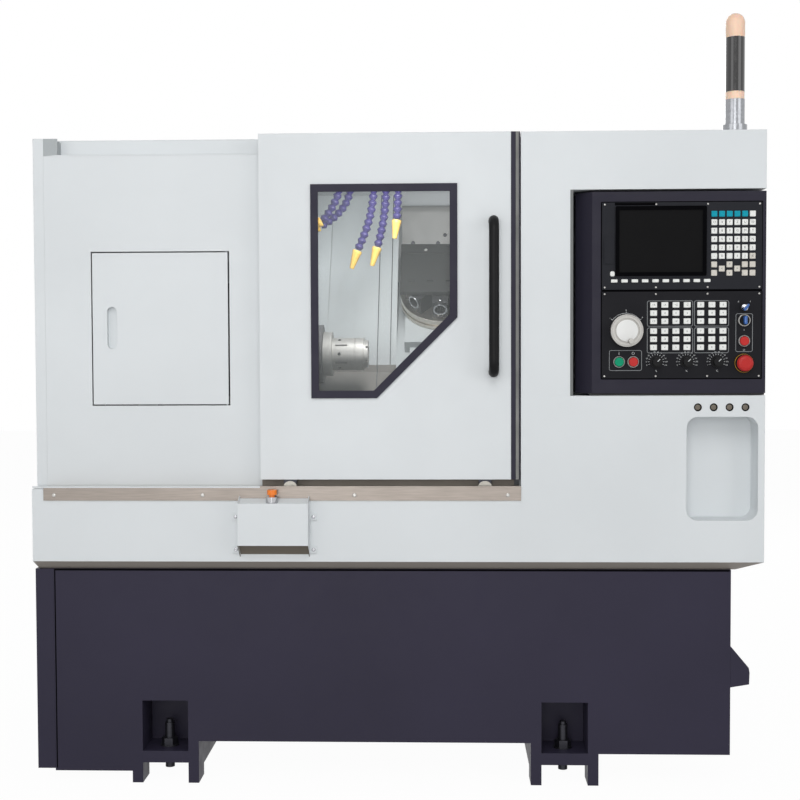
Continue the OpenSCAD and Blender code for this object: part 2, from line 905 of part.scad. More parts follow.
module cross_slide() {
    gap = slide_gap;
    half = slide_w / 2;
    color([0.24, 0.25, 0.27])
        slanted()
            difference() {
                union() {
                    translate([carriage_x, 0, 0]) {
                        box(-half, half, slide_u[0], slide_u[1], slide_n[0], slide_n[1]);
                        box(4 - half, half - 4, head_u, slide_u[1], slide_n[1] - eps, head_n);
                        box(-half, half, slide_u[1] - 24, slide_u[1], slide_n[1] - eps, head_n + 4);
                        box(-half, half, head_u, head_u + guard_t, slide_n[1] - eps, guard_n[1]);
                        box(-guard_w / 2, guard_w / 2, guard_u0, head_u + guard_t, guard_n[0], guard_n[1]);
                    }
                }
                for (dx = [-cross_rail_dx, cross_rail_dx])
                    box(carriage_x + dx - cross_rail_w / 2 - gap, carriage_x + dx + cross_rail_w / 2 + gap,
                        slide_u[0] - eps, slide_u[1] + eps,
                        slide_n[0] - eps, saddle_n[1] + cross_rail_h + gap);
                rod_z(carriage_x, turret_u, slide_n[0] - eps, slide_n[1] + eps, hub_d + 2 * running);
                box(carriage_x - guard_w / 2 - eps, carriage_x + guard_w / 2 + eps, 380, 383,
                    guard_n[1] - 2, guard_n[1] + eps);
                for (dx = [-85, -30, 25, 80])
                    box(carriage_x + dx - 9, carriage_x + dx + 9, 253, 262, guard_n[1] - 5, guard_n[1] + eps);
                for (dx = [-60, 0, 60])
                    rod_z(carriage_x + dx, head_u + 30, head_n - 10, head_n + eps, 12);
            }
}

module turret_disc() {
    color([0.76, 0.74, 0.7])
        slanted()
            translate([carriage_x, turret_u, 0])
                difference() {
                    union() {
                        rod_z(0, 0, disc_n[0], disc_n[1], turret_d);
                        rod_z(0, 0, slide_n[0] + 4, disc_n[0] - seam, hub_d);
                    }
                    difference() {
                        rod_z(0, 0, disc_n[0] + 12, disc_n[0] + 20, turret_d + 2);
                        rod_z(0, 0, disc_n[0] + 11, disc_n[0] + 21, turret_d - 8);
                    }
                }
}

module at_stations() {
    for (i = [0:stations - 1])
        rotate([0, 0, i * 360 / stations - 90])
            children();
}

module tool_holders() {
    n = holder_n;
    r = holder_r;
    color([0.2, 0.2, 0.22])
        slanted()
            translate([carriage_x, turret_u, 0])
                difference() {
                    union() {
                        translate([0, 0, n[0]])
                            linear_extrude(n[1] - n[0])
                                at_stations()
                                    rect(0, r[1] - 6, -holder_w / 2, holder_w / 2);
                        at_stations()
                            rod_x(r[1] - 7, r[1], 0, socket_n, socket_d + 10);
                    }
                    at_stations() {
                        rod_x(r[0] + 4, r[1] + eps, 0, socket_n, socket_d);
                        rod_x(r[0] + 20, r[1], 0, screw_hole_n, 10);
                    }
                    difference() {
                        rod_z(0, 0, n[1] - 6, n[1] + eps, 2 * r[0] - 22);
                        rod_z(0, 0, n[1] - 7, n[1] + 2 * eps, 60);
                    }
                }
}

// Coolant hoses

hose_y = -210;
hose_d = 26;
bead_pitch = 20;
collar_d = 16;
nozzle_d = 17;
nozzle_tip_d = 7;
manifold_z = roof_top - sheet_t;
manifold_h = 40;
hose_z = manifold_z - manifold_h;

// Each hose: top x, y set back, end x and z, nozzle tip x and z, bulge of the curve along x.
hoses = [
    [-166, 0, -211, 379, -236, 367, 4],
    [-142, 33, -218, 366, -246, 358, 14],
    [-74, 0, -116, 301, -136, 241, 10],
    [-40, 12, -61, 311, -79, 249, 8],
    [-4, 0, -6, 387, -14, 325, 2]
];

function hose_top(h) = [h[0], hose_y + h[1], hose_z];
function hose_end(h) = [h[2], hose_y + h[1], axis_z + h[3]];
function nozzle_tip(h) = [h[4], hose_y + h[1], axis_z + h[5]];
function hose_dir(h) = (nozzle_tip(h) - hose_end(h)) / norm(nozzle_tip(h) - hose_end(h));
function hose_bend(h) = [h[0] + h[6], hose_y + h[1], (hose_z + hose_end(h)[2]) / 2];
function curve(a, b, c, t) = (1 - t) * (1 - t) * a + 2 * t * (1 - t) * b + t * t * c;
function hose_len(h) = norm(hose_end(h) - hose_bend(h)) + norm(hose_bend(h) - hose_top(h));
function bead_count(h) = max(4, ceil(hose_len(h) / bead_pitch));

module aim(from, dir) {
    translate(from)
        rotate([0, acos(dir[2]), atan2(dir[1], dir[0])])
            children();
}

module hose(h) {
    n = bead_count(h);
    last = hose_end(h) - hose_dir(h) * hose_d / 2;
    rod_z(h[0], hose_y + h[1], hose_z - hose_d * 0.6, hose_z, collar_d);
    for (i = [1:n])
        translate(curve(hose_top(h), hose_bend(h), last, i / n))
            sphere(d = hose_d);
    aim(last, hose_dir(h))
        cylinder(h = hose_d / 2 + 4, d = collar_d);
}

module coolant_hoses() {
    color([0.25, 0.24, 0.55]) {
        for (h = hoses)
            hose(h);
        box(-190, 24, hose_y - 18, hose_y + 52, hose_z, manifold_z);
    }
}

module coolant_nozzles() {
    color([0.95, 0.75, 0.1])
        for (h = hoses)
            aim(hose_end(h) + hose_dir(h) * 4, hose_dir(h))
                difference() {
                    union() {
                        cylinder(h = 10, d = nozzle_d + 3);
                        cylinder(h = norm(nozzle_tip(h) - hose_end(h)) - 4, d1 = nozzle_d, d2 = nozzle_tip_d);
                    }
                    translate([0, 0, 8])
                        cylinder(h = 80, d = nozzle_tip_d - 3);
                }
}

// Sliding door

door_y0 = front_y + 8;
door_y1 = door_y0 + door_t;
trim_w = 12.5;
door_x1 = col_x - 2 - trim_w;
door_x0 = door_x1 - door_w;
door_z0 = rail_z + 20;
door_z1 = roof_top + 2;
hook_y = track_back_y - 15;
hook_drop = 30;
roller_x = [door_x0 + 75, door_x1 - 75];
roller_w = 12;
roller_y = door_y0 + door_t / 2 - 3;
roller_z = rail_z + 0.3 + roller_d / 2;
bracket_t = 3;

// Window corners at the inner edge of the band, clockwise from the top left.
window_x = [-190, 139];
window_z = [door_z0 + 224, door_z0 + 721];
window_cut_x = -52;
window_cut_z = door_z0 + 415;

// The band's five-sided outline, grown outwards by g on every side.
module window_outline(g) {
    k = g * tan(22.5);
    polygon([
        [window_x[0] - g, window_z[1] + g], [window_x[1] + g, window_z[1] + g],
        [window_x[1] + g, window_cut_z - k], [window_cut_x + k, window_z[0] - g],
        [window_x[0] - g, window_z[0] - g]
    ]);
}

module roller_slots() {
    for (x = roller_x)
        box(x - roller_d / 2 - 5, x + roller_d / 2 + 5,
            roller_y - roller_w / 2 - 4, roller_y + roller_w / 2 + 4, door_z0 - eps, door_z0 + sheet_t + eps);
}

module roller_fork(x) {
    half = roller_w / 2 + 1;
    top = roller_z + roller_d / 2 + 4;
    for (y = [roller_y - half - bracket_t, roller_y + half])
        box(x - 16, x + 16, y, y + bracket_t, roller_z - 9, top + bracket_t);
    box(x - 16, x + 16, roller_y - half - bracket_t, roller_y + half + bracket_t, top, top + bracket_t);
    box(x - 16, x + 16, door_y0, roller_y - half, top, top + bracket_t);
    rod_y(x, roller_z, roller_y - half - bracket_t, roller_y + half + bracket_t, axle_d);
}

module door_panel() {
    t = sheet_t;
    color([0.85, 0.87, 0.88]) {
        difference() {
            box(door_x0, door_x1, door_y0, door_y1, door_z0, door_z1);
            box(door_x0 + t, door_x1 - t, door_y0 + t, door_y1 + eps, door_z0 + t, door_z1 - t);
            along_y(door_y0 - eps, door_y0 + t + eps)
                window_outline(window_band / 2);
            roller_slots();
        }
        box(door_x0, door_x1, door_y0, hook_y, door_z1 - t, door_z1);
        box(door_x0, door_x1, hook_y - t, hook_y, door_z1 - hook_drop, door_z1);
        for (x = roller_x)
            roller_fork(x);
    }
}

module door_roller(x) {
    color([0.12, 0.12, 0.13])
        difference() {
            rod_y(x, roller_z, roller_y - roller_w / 2, roller_y + roller_w / 2, roller_d);
            rod_y(x, roller_z, roller_y - roller_w, roller_y + roller_w, axle_d + 2 * running);
        }
}

module roller_left() {
    door_roller(roller_x[0]);
}

module roller_right() {
    door_roller(roller_x[1]);
}

module window_frame() {
    color([0.2, 0.19, 0.26])
        along_y(door_y0 - 5, door_y0)
            difference() {
                window_outline(window_band);
                window_outline(0);
            }
}

module window_glass() {
    color([0.8, 0.85, 0.88, 0.35])
        along_y(door_y0 + sheet_t, door_y0 + sheet_t + 6)
            window_outline(window_band);
}

module door_edge_trim() {
    color([0.22, 0.21, 0.3])
        difference() {
            box(door_x1, door_x1 + trim_w, door_y0, door_y1, door_z0, door_z1);
            box(door_x1 + 4, door_x1 + trim_w - 3, door_y0 + 3, door_y1 + eps, door_z0 + 3, door_z1 - 3);
        }
}

handle_x = door_x1 - 54;
handle_z = [door_z0 + 257, door_z0 + 257 + handle_len];
handle_out = 50.5;
handle_r = 30;

module handle_bend() {
    translate([0, handle_r, 0])
        rotate([90, 0, -90])
            rotate_extrude(angle = 90)
                translate([handle_r, 0])
                    circle(d = handle_d);
}

module door_handle() {
    y = door_y0 - handle_out;
    z0 = handle_z[0] + handle_d / 2;
    z1 = handle_z[1] - handle_d / 2;
    color([0.06, 0.06, 0.07]) {
        rod_z(handle_x, y, z0 + handle_r, z1 - handle_r, handle_d);
        translate([handle_x, y, z1 - handle_r])
            handle_bend();
        translate([handle_x, y, z0 + handle_r])
            mirror([0, 0, 1])
                handle_bend();
        for (z = [z0, z1]) {
            rod_y(handle_x, z, y + handle_r, door_y0, handle_d);
            rod_y(handle_x, z, door_y0 - 5, door_y0, handle_d + 10);
        }
    }
}

// Operator panel

panel_gap = 6;
box_x = [niche_x + 10, half_w];
box_z = [niche_z0 + panel_gap, niche_z1 - panel_gap];
chamfer = 37;
unit_x = [516, 909];
unit_z = [niche_z0 + 263, niche_z0 + 478];
unit_t = 4;
screen_x = [557, 765.5];
screen_z = [unit_z[0] + 40, unit_z[0] + 197];
bezel = 8.5;
bezel_h = 4;
plate_z = [niche_z0 + 43, niche_z0 + 258];
plate_t = 3;
plate_front = front_y - plate_t;
cut_in = 12;
box_wall = 3;

module panel_plan(inset) {
    x0 = box_x[0] + inset;
    y0 = front_y + inset;
    k = chamfer - inset * 0.6;
    polygon([
        [x0, y0 + k], [x0 + k, y0], [box_x[1] - inset, y0],
        [box_x[1] - inset, front_y + panel_depth - inset], [x0, front_y + panel_depth - inset]
    ]);
}

module panel_box() {
    w = box_wall;
    color([0.2, 0.19, 0.26]) {
        difference() {
            translate([0, 0, box_z[0]])
                linear_extrude(box_z[1] - box_z[0])
                    panel_plan(0);
            translate([0, 0, box_z[0] + w])
                linear_extrude(box_z[1] - box_z[0] - 2 * w)
                    panel_plan(w);
            for (z = [unit_z, plate_z])
                box(unit_x[0] + cut_in, unit_x[1] - cut_in, front_y - eps, front_y + w + eps,
                    z[0] + cut_in, z[1] - cut_in);
            rod_y(pivot_x + 120, niche_z0 + 120,
                  front_y + panel_depth - w - eps, front_y + panel_depth + eps, 40);
        }
        rod_z(pivot_x, pivot_y, niche_z0 - sheet_t, box_z[0] + w, pivot_d);
        rod_z(pivot_x, pivot_y, box_z[1] - w, niche_z1 + sheet_t, pivot_d);
        for (z = [niche_z0 + 1, box_z[1]])
            rod_z(pivot_x, pivot_y, z, z + panel_gap - 1, pivot_d + 10);
    }
}

usb_x = [521, 545];
usb_z = [unit_z[0] + 64, unit_z[0] + 128];

module cnc_bezel() {
    color([0.7, 0.71, 0.72])
        difference() {
            union() {
                along_y(front_y - unit_t, front_y)
                    round_rect(unit_x[0], unit_x[1], unit_z[0], unit_z[1], 3);
                along_y(front_y - unit_t - bezel_h, front_y - unit_t)
                    round_rect(screen_x[0] - bezel, screen_x[1] + bezel,
                               screen_z[0] - bezel, screen_z[1] + bezel, 4);
                along_y(front_y - unit_t - 2, front_y - unit_t)
                    round_rect(usb_x[0], usb_x[1], usb_z[0], usb_z[1], 2);
            }
            box(screen_x[0], screen_x[1],
                front_y - unit_t - bezel_h - eps, front_y - 2, screen_z[0], screen_z[1]);
        }
}

module cnc_screen() {
    color([0.03, 0.03, 0.04])
        box(screen_x[0], screen_x[1], front_y - unit_t - 2, front_y - 2, screen_z[0], screen_z[1]);
}

soft_x0 = 546;
soft_pitch = 25.4;
mdi_x0 = 791.4;
mdi_pitch = 18.8;
mdi_z0 = unit_z[0] + 185.5;
mdi_row = 20.75;
key = 14.5;
key_h = 3;
fun_x = [643.5, 671, 698.5, 726, 759.3, 786.8, 814.2];
fun_z = [for (h = [181.9, 161.7, 141.5, 117, 97, 76.7]) plate_z[0] + h];

module one_key(x, z, w, h, y) {
    along_y(y - key_h, y)
        round_rect(x - w / 2, x + w / 2, z - h / 2, z + h / 2, 1.5);
}

module mdi_key(col, row) {
    one_key(mdi_x0 + col * mdi_pitch, mdi_z0 - row * mdi_row, key, key, front_y - unit_t);
}

module panel_keys() {
    color([0.9, 0.9, 0.88]) {
        for (i = [0:9])
            one_key(soft_x0 + i * soft_pitch, unit_z[0] + 21.5, 16, 8, front_y - unit_t);
        for (row = [0:5], col = [0:5])
            mdi_key(col, row);
        for (row = [6, 7], col = [0, 2, 4, 5])
            mdi_key(col, row);
        for (col = [1, 3])
            mdi_key(col, 6.5);
        for (x = fun_x, z = fun_z)
            one_key(x, z, 17, 14, plate_front);
    }
}

wheel_at = [576, plate_z[0] + 118.5];
knob_z = plate_z[0] + 41;
start_at = [558.5, knob_z];
stop_at = [593.5, knob_z];
knob_at = [[650.5, knob_z], [725.5, knob_z], [800.5, knob_z]];
key_at = [866.5, plate_z[0] + 174.5];
selector_at = [866.5, plate_z[0] + 143];
reset_at = [866.5, plate_z[0] + 92];
estop_at = [866.5, plate_z[0] + 37];
stem_d = 12;
ring_h = 4;
controls = concat([wheel_at, start_at, stop_at, key_at, selector_at, reset_at, estop_at], knob_at);

// A raised ring on the plate, around a control that has the diameter d.
module ring_at(p, d) {
    rod_y(p[0], p[1], plate_front - ring_h, plate_front, d);
}

module machine_plate() {
    color([0.75, 0.76, 0.77])
        difference() {
            union() {
                along_y(plate_front, front_y)
                    round_rect(unit_x[0], unit_x[1], plate_z[0], plate_z[1], 3);
                for (p = [start_at, stop_at, reset_at])
                    ring_at(p, button_d + 5);
                ring_at(selector_at, button_d + 7);
                ring_at(key_at, 20);
                ring_at(estop_at, 45);
            }
            for (p = controls)
                rod_y(p[0], p[1], plate_front - ring_h - eps, front_y + eps, stem_d + 2 * running);
            for (p = [start_at, stop_at, reset_at])
                rod_y(p[0], p[1], plate_front - ring_h - eps, plate_front + 1.5, button_d + 1);
        }
}

module stem(p, y0) {
    rod_y(p[0], p[1], y0, front_y + 6, stem_d);
}

push_cap = 5;

module push_button(p) {
    y = plate_front - ring_h;
    rod_y(p[0], p[1], y - 3, y - 3 + push_cap, button_d);
    stem(p, y);
}

module start_button() {
    color([0.1, 0.6, 0.25])
        push_button(start_at);
}

module stop_button() {
    color([0.8, 0.1, 0.1])
        push_button(stop_at);
}

module reset_button() {
    color([0.8, 0.1, 0.1])
        push_button(reset_at);
}

module estop_button() {
    y = plate_front - ring_h - 5;
    p = estop_at;
    color([0.82, 0.08, 0.08]) {
        translate([p[0], y - 14, p[1]])
            rotate([-90, 0, 0])
                rotate_extrude()
                    polygon([[0, 0], [estop_d * 0.28, 0], [estop_d * 0.42, 2], [estop_d / 2, 7],
                             [estop_d / 2, 11], [estop_d * 0.4, 14], [0, 14]]);
        stem(p, y - 1);
        rod_y(p[0], p[1], y - 1, y + 1, 20);
    }
}

module key_switch() {
    y = plate_front - ring_h;
    p = key_at;
    color([0.75, 0.75, 0.76]) {
        rod_y(p[0], p[1], y - 3, y - 0.5, 16);
        stem(p, y - 1);
        box(p[0] - 1.5, p[0] + 1.5, y - 24, y - 2, p[1] - 7, p[1] + 7);
    }
}

module mode_selector() {
    y = plate_front - ring_h;
    p = selector_at;
    color([0.1, 0.3, 0.65]) {
        rod_y(p[0], p[1], y - 5, y - 0.5, button_d);
        stem(p, y - 1);
        box(p[0] - 3, p[0] + 3, y - 16, y - 4, p[1] - button_d / 2 + 1.5, p[1] + button_d / 2 - 1.5);
    }
}

module override_knob(p) {
    y = plate_front;
    color([0.08, 0.08, 0.09])
        difference() {
            union() {
                rod_y(p[0], p[1], y - 4, y - 0.5, knob_d);
                rod_y(p[0], p[1], y - 18, y - 3, knob_d * 0.72);
                stem(p, y - 1);
            }
            translate([p[0], 0, p[1]])
                rotate([0, 45, 0])
                    box(-1, 1, y - 19, y - 17, 1, knob_d / 2);
        }
}

module feed_knob() {
    override_knob(knob_at[0]);
}

module rapid_knob() {
    override_knob(knob_at[1]);
}

module spindle_knob() {
    override_knob(knob_at[2]);
}

module handwheel() {
    y = plate_front;
    p = wheel_at;
    color([0.12, 0.12, 0.13])
        difference() {
            union() {
                rod_y(p[0], p[1], y - 18, y - 4, handwheel_d);
                rod_y(p[0], p[1], y - 5, y - 0.5, 30);
                stem(p, y - 1);
                rod_y(p[0] + 7.5, p[1] - 25.5, y - 40, y - 13, 12);
            }
            difference() {
                rod_y(p[0], p[1], y - 19, y - 14, handwheel_d - 18);
                rod_y(p[0], p[1], y - 20, y - 13, handwheel_d - 24);
            }
        }
}

// Switch box on the apron

switch_x = [-392, -215];
switch_y = front_y - 40;
button_x = -307;
button_y = front_y - 20;
cheek_t = 2;
box_lip = 6;
ear_w = 18;
switch_top = rail_z - rail_drop - 1;
slope_top = rail_z - 20;
slope_bottom = slope_top - 154;
switch_z = [slope_bottom + 33, slope_top - 15];
button_top = slope_top - 1;
ear_z = [slope_bottom + 9, slope_bottom + 92];

// Section of the box between its cheeks, its sloped faces set in by the lip.
module switch_section() {
    back = front_y - sheet_t;
    inner = switch_y + cheek_t;
    polygon([
        [front_y, slope_bottom + box_lip], [inner, switch_z[0] + box_lip], [inner, switch_z[0]],
        [switch_y, switch_z[0]], [switch_y, switch_z[1]], [inner, switch_z[1]],
        [inner, switch_z[1] - box_lip], [back, slope_top - box_lip], [back, switch_top],
        [front_y, switch_top]
    ]);
}

module switch_cheek(x) {
    back = front_y - sheet_t;
    along_x(x, x + cheek_t)
        polygon([
            [front_y, slope_bottom], [switch_y, switch_z[0]], [switch_y, switch_z[1]],
            [back, slope_top], [back, switch_top], [front_y, switch_top]
        ]);
}

module switch_box() {
    color([0.84, 0.86, 0.87])
        difference() {
            union() {
                along_x(switch_x[0] + cheek_t - eps, switch_x[1] - cheek_t + eps)
                    switch_section();
                switch_cheek(switch_x[0]);
                switch_cheek(switch_x[1] - cheek_t);
                for (z = ear_z) {
                    box(switch_x[0] - ear_w, switch_x[0] + eps, front_y - 3, front_y, z, z + ear_w);
                    box(switch_x[1] - eps, switch_x[1] + ear_w, front_y - 3, front_y, z, z + ear_w);
                }
                rod_z(button_x, button_y, button_top - 39, button_top, 30);
            }
            rod_z(button_x, button_y, button_top - 39, button_top + eps, 14 + 2 * running);
            for (x = [switch_x[0] - 10, switch_x[1] + 10], z = ear_z)
                rod_y(x, z + ear_w / 2, front_y - 4, front_y + eps, 6);
        }
}

module box_button() {
    color([0.95, 0.4, 0.08]) {
        rod_z(button_x, button_y, button_top - 25, button_top + 8, 14);
        rod_z(button_x, button_y, button_top + 6, button_top + 18, 24);
    }
}

// Signal tower

tower_x = half_w - 69;
tower_y = front_y + 45;
tower_d = 47;

module tower_base() {
    color("silver") {
        rod_z(tower_x, tower_y, roof_top, roof_top + 18, 60);
        rod_z(tower_x, tower_y, roof_top + 18, roof_top + 81, tower_d + 1);
    }
}

module tower_lamp() {
    z = roof_top + 81;
    color([0.95, 0.75, 0.62])
        translate([tower_x, tower_y, z]) {
            cylinder(h = 19, d = tower_d - 1);
            translate([0, 0, 18])
                cylinder(h = 136, d = tower_d - 8);
            translate([0, 0, 153])
                cylinder(h = 37, d = tower_d);
            translate([0, 0, 190])
                intersection() {
                    sphere(d = tower_d);
                    cylinder(h = tower_d, d = tower_d + 2);
                }
        }
}

module tower_sleeve() {
    z = roof_top + 100;
    color([0.05, 0.05, 0.06])
        difference() {
            rod_z(tower_x, tower_y, z, z + 134, tower_d);
            rod_z(tower_x, tower_y, z - eps, z + 135, tower_d - 8 + 0.6);
        }
}

base_casting();
base_end_cover();
drain_spout();
levelling_screws();
under_skirt();
front_cover();
cover_trays();
door_rail();
left_panel();
top_track();
side_panels();
roof_panel();
electrical_cabinet();
chamber_lining();
bed_casting();
ball_screw();
headstock();
spindle();
collet_chuck();
spindle_motor();
motor_pulley();
drive_belt();
way_cover_fixed();
way_cover_middle();
way_cover_end();
saddle();
motor_housing();
cross_slide();
turret_disc();
tool_holders();
coolant_hoses();
coolant_nozzles();
door_panel();
window_frame();
window_glass();
door_handle();
door_edge_trim();
roller_left();
roller_right();
access_door();
panel_box();
cnc_bezel();
cnc_screen();
panel_keys();
machine_plate();
estop_button();
start_button();
stop_button();
reset_button();
key_switch();
mode_selector();
feed_knob();
rapid_knob();
spindle_knob();
handwheel();
switch_box();
box_button();
tower_base();
tower_lamp();
tower_sleeve();
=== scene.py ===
"""Looks of an enclosed turning lathe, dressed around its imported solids.

All sizes in the classes are millimetres in the machine's own frame: +X to the
operator's right, +Y to the rear, +Z up, origin on the floor.
"""

from __future__ import annotations

import json
import logging
import math
from collections.abc import Callable
from dataclasses import dataclass, field
from enum import Enum

import bmesh
import bpy
import numpy as np
import numpy.typing as npt
from mathutils import Matrix, Vector

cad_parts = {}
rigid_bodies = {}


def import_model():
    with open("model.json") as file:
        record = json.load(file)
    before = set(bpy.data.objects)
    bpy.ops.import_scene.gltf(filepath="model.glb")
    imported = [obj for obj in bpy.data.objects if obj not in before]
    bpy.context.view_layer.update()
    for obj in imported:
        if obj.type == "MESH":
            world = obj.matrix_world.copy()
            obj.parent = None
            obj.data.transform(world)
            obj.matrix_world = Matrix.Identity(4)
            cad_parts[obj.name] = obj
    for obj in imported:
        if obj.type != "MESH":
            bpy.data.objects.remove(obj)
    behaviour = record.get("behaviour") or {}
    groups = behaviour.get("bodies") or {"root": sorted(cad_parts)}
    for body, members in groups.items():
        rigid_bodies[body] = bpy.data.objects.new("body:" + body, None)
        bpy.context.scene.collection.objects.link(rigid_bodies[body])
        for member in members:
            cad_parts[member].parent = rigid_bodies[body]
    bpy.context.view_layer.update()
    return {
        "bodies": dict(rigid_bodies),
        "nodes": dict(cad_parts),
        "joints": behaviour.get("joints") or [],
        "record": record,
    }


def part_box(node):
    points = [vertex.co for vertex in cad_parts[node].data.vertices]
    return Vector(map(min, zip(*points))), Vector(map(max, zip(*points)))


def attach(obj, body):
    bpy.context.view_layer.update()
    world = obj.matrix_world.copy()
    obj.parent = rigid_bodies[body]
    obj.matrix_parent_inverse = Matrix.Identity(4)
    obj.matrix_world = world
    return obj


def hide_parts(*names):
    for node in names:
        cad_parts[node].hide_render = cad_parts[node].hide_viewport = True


Array = npt.NDArray[np.float64]
Color = tuple[float, float, float]
Point = tuple[float, float, float]
Pair = tuple[float, float]
Faces = npt.NDArray[np.int64]

MM = 0.001
# Size of a font over the height of its capitals
FONT_SIZE = 1.4
# Colour sockets of a mixing node: its two inputs and its result
MIX_A, MIX_B, MIX_RESULT = 6, 7, 2
LOG = logging.getLogger("lathe")


class Axis(Enum):
    """Direction in which a turned piece stands."""

    X = (1.0, 0.0, 0.0)
    Z = (0.0, 0.0, 1.0)
    FRONT = (0.0, -1.0, 0.0)


# Finishes


def srgb(red: int, green: int, blue: int) -> Color:
    """Linear colour of an 8-bit display colour.

    Args:
        red: Display value from 0 to 255.
        green: Display value from 0 to 255.
        blue: Display value from 0 to 255.

    Returns:
        The three linear values.
    """
    values = np.array([red, green, blue]) / 255.0
    linear = np.where(values <= 0.04045, values / 12.92, ((values + 0.055) / 1.055) ** 2.4)
    return tuple(float(v) for v in linear)


@dataclass
class Graph:
    """Small helper that adds nodes to one material.

    Attributes:
        material: The material.
        noise_range: Values between which most of a noise lies.
    """

    material: bpy.types.Material
    noise_range: Pair = (0.3, 0.7)

    def __post_init__(self) -> None:
        """Clears the tree and adds the shader, its output and the coordinates."""
        self.material.use_nodes = True
        self.tree = self.material.node_tree
        self.tree.nodes.clear()
        self.output = self.add("ShaderNodeOutputMaterial")
        self.shader = self.add("ShaderNodeBsdfPrincipled")
        self.link(self.shader, "BSDF", self.output, "Surface")
        self.coordinates = self.add("ShaderNodeTexCoord")

    def add(self, kind: str, **inputs: object) -> bpy.types.Node:
        """Adds a node and sets its input sockets.

        Args:
            kind: Blender's name of the node type.
            **inputs: Socket values, with _ in place of a space in the name.

        Returns:
            The new node.
        """
        node = self.tree.nodes.new(kind)
        for name, value in inputs.items():
            node.inputs[name.replace("_", " ")].default_value = value
        return node

    def link(self, source: bpy.types.Node, out: str | int, target: bpy.types.Node, into: str | int) -> None:
        """Links an output socket to an input socket."""
        self.tree.links.new(source.outputs[out], target.inputs[into])

    def noise(self, scale: float, detail: float = 2.0, stretch: Point = (1.0, 1.0, 1.0)) -> bpy.types.Node:
        """Noise on Object coordinates.

        Args:
            scale: Repeats per metre.
            detail: Octaves of the noise.
            stretch: Factor on each coordinate before the noise.

        Returns:
            The noise node.
        """
        mapping = self.add("ShaderNodeMapping")
        mapping.inputs["Scale"].default_value = stretch
        self.link(self.coordinates, "Object", mapping, "Vector")
        node = self.add("ShaderNodeTexNoise", Scale=scale, Detail=detail)
        self.link(mapping, "Vector", node, "Vector")
        return node

    def spread(self, source: bpy.types.Node, low: float, high: float, out: str | int = 0) -> bpy.types.Node:
        """Maps the middle of a noise to the range from low to high.

        Args:
            source: The noise node.
            low: Value in its troughs.
            high: Value on its crests.
            out: The noise's output socket.

        Returns:
            The mapping node.
        """
        node = self.add("ShaderNodeMapRange", To_Min=low, To_Max=high)
        node.inputs["From Min"].default_value, node.inputs["From Max"].default_value = self.noise_range
        self.link(source, out, node, "Value")
        return node

    def tint(self, color: Color, other: Color, factor: bpy.types.Node) -> bpy.types.Node:
        """Mixes two colours by a node's value and feeds the shader's base colour.

        Args:
            color: Colour where the value is 0.
            other: Colour where the value is 1.
            factor: Node whose first output is the value.

        Returns:
            The mixing node.
        """
        mix = self.add("ShaderNodeMix")
        mix.data_type = "RGBA"
        mix.inputs[MIX_A].default_value = (*color, 1.0)
        mix.inputs[MIX_B].default_value = (*other, 1.0)
        self.link(factor, 0, mix, 0)
        self.link(mix, MIX_RESULT, self.shader, "Base Color")
        return mix

    def fade(self, source: bpy.types.Node, share: float, heights: Pair) -> None:
        """Darkens a mixed colour towards a lower height: painted shade.

        Args:
            source: Node that mixes the colour.
            share: Shade left at the lower height.
            heights: Lower and upper height in metres.
        """
        split = self.add("ShaderNodeSeparateXYZ")
        self.link(self.coordinates, "Object", split, "Vector")
        ramp = self.add("ShaderNodeMapRange")
        for name, value in zip(("From Min", "From Max", "To Min"), (*heights, share)):
            ramp.inputs[name].default_value = value
        self.link(split, "Z", ramp, "Value")
        mix = self.add("ShaderNodeMix")
        mix.data_type = "RGBA"
        mix.blend_type = "MULTIPLY"
        mix.inputs[0].default_value = 1.0
        self.link(source, MIX_RESULT, mix, MIX_A)
        self.link(ramp, 0, mix, MIX_B)
        self.link(mix, MIX_RESULT, self.shader, "Base Color")

    def relief(self, source: bpy.types.Node, strength: float, depth: float, edge: float = 0.0) -> None:
        """Bump from a node's value, over a rounded edge where a radius is given.

        Args:
            source: Node whose first output is the height.
            strength: Share of the full bump.
            depth: Height of the bump in metres.
            edge: Radius of the rounded edge in metres, or 0 for none.
        """
        bump = self.add("ShaderNodeBump", Strength=strength, Distance=depth)
        self.link(source, 0, bump, "Height")
        if edge > 0.0:
            bevel = self.add("ShaderNodeBevel", Radius=edge)
            bevel.samples = 4
            self.link(bevel, "Normal", bump, "Normal")
        self.link(bump, "Normal", self.shader, "Normal")


@dataclass(frozen=True)
class Finish:
    """Base of all finishes: a name, a colour and a gloss.

    Attributes:
        name: Name of the material.
        color: Linear base colour.
        rough: Mean roughness.
        edge: Radius of the softened edges in metres.
        gloss: Level of the mirrored light, 0.5 for common paint and plastic.
    """

    name: str
    color: Color
    rough: float = 0.45
    edge: float = 0.0
    gloss: float = 0.5

    def shade(self, factor: float) -> Color:
        """The base colour made darker or lighter."""
        return tuple(min(1.0, c * factor) for c in self.color)

    def dress(self, graph: Graph) -> None:
        """Adds this finish's nodes to a material."""
        raise NotImplementedError

    def material(self) -> bpy.types.Material:
        """The material, made on first use.

        Returns:
            The material of this finish's name.
        """
        known = bpy.data.materials.get(self.name)
        if known is not None:
            return known
        made = bpy.data.materials.new(self.name)
        made.diffuse_color = (*self.color, 1.0)
        graph = Graph(made)
        graph.shader.inputs["Specular IOR Level"].default_value = self.gloss
        self.dress(graph)
        return made


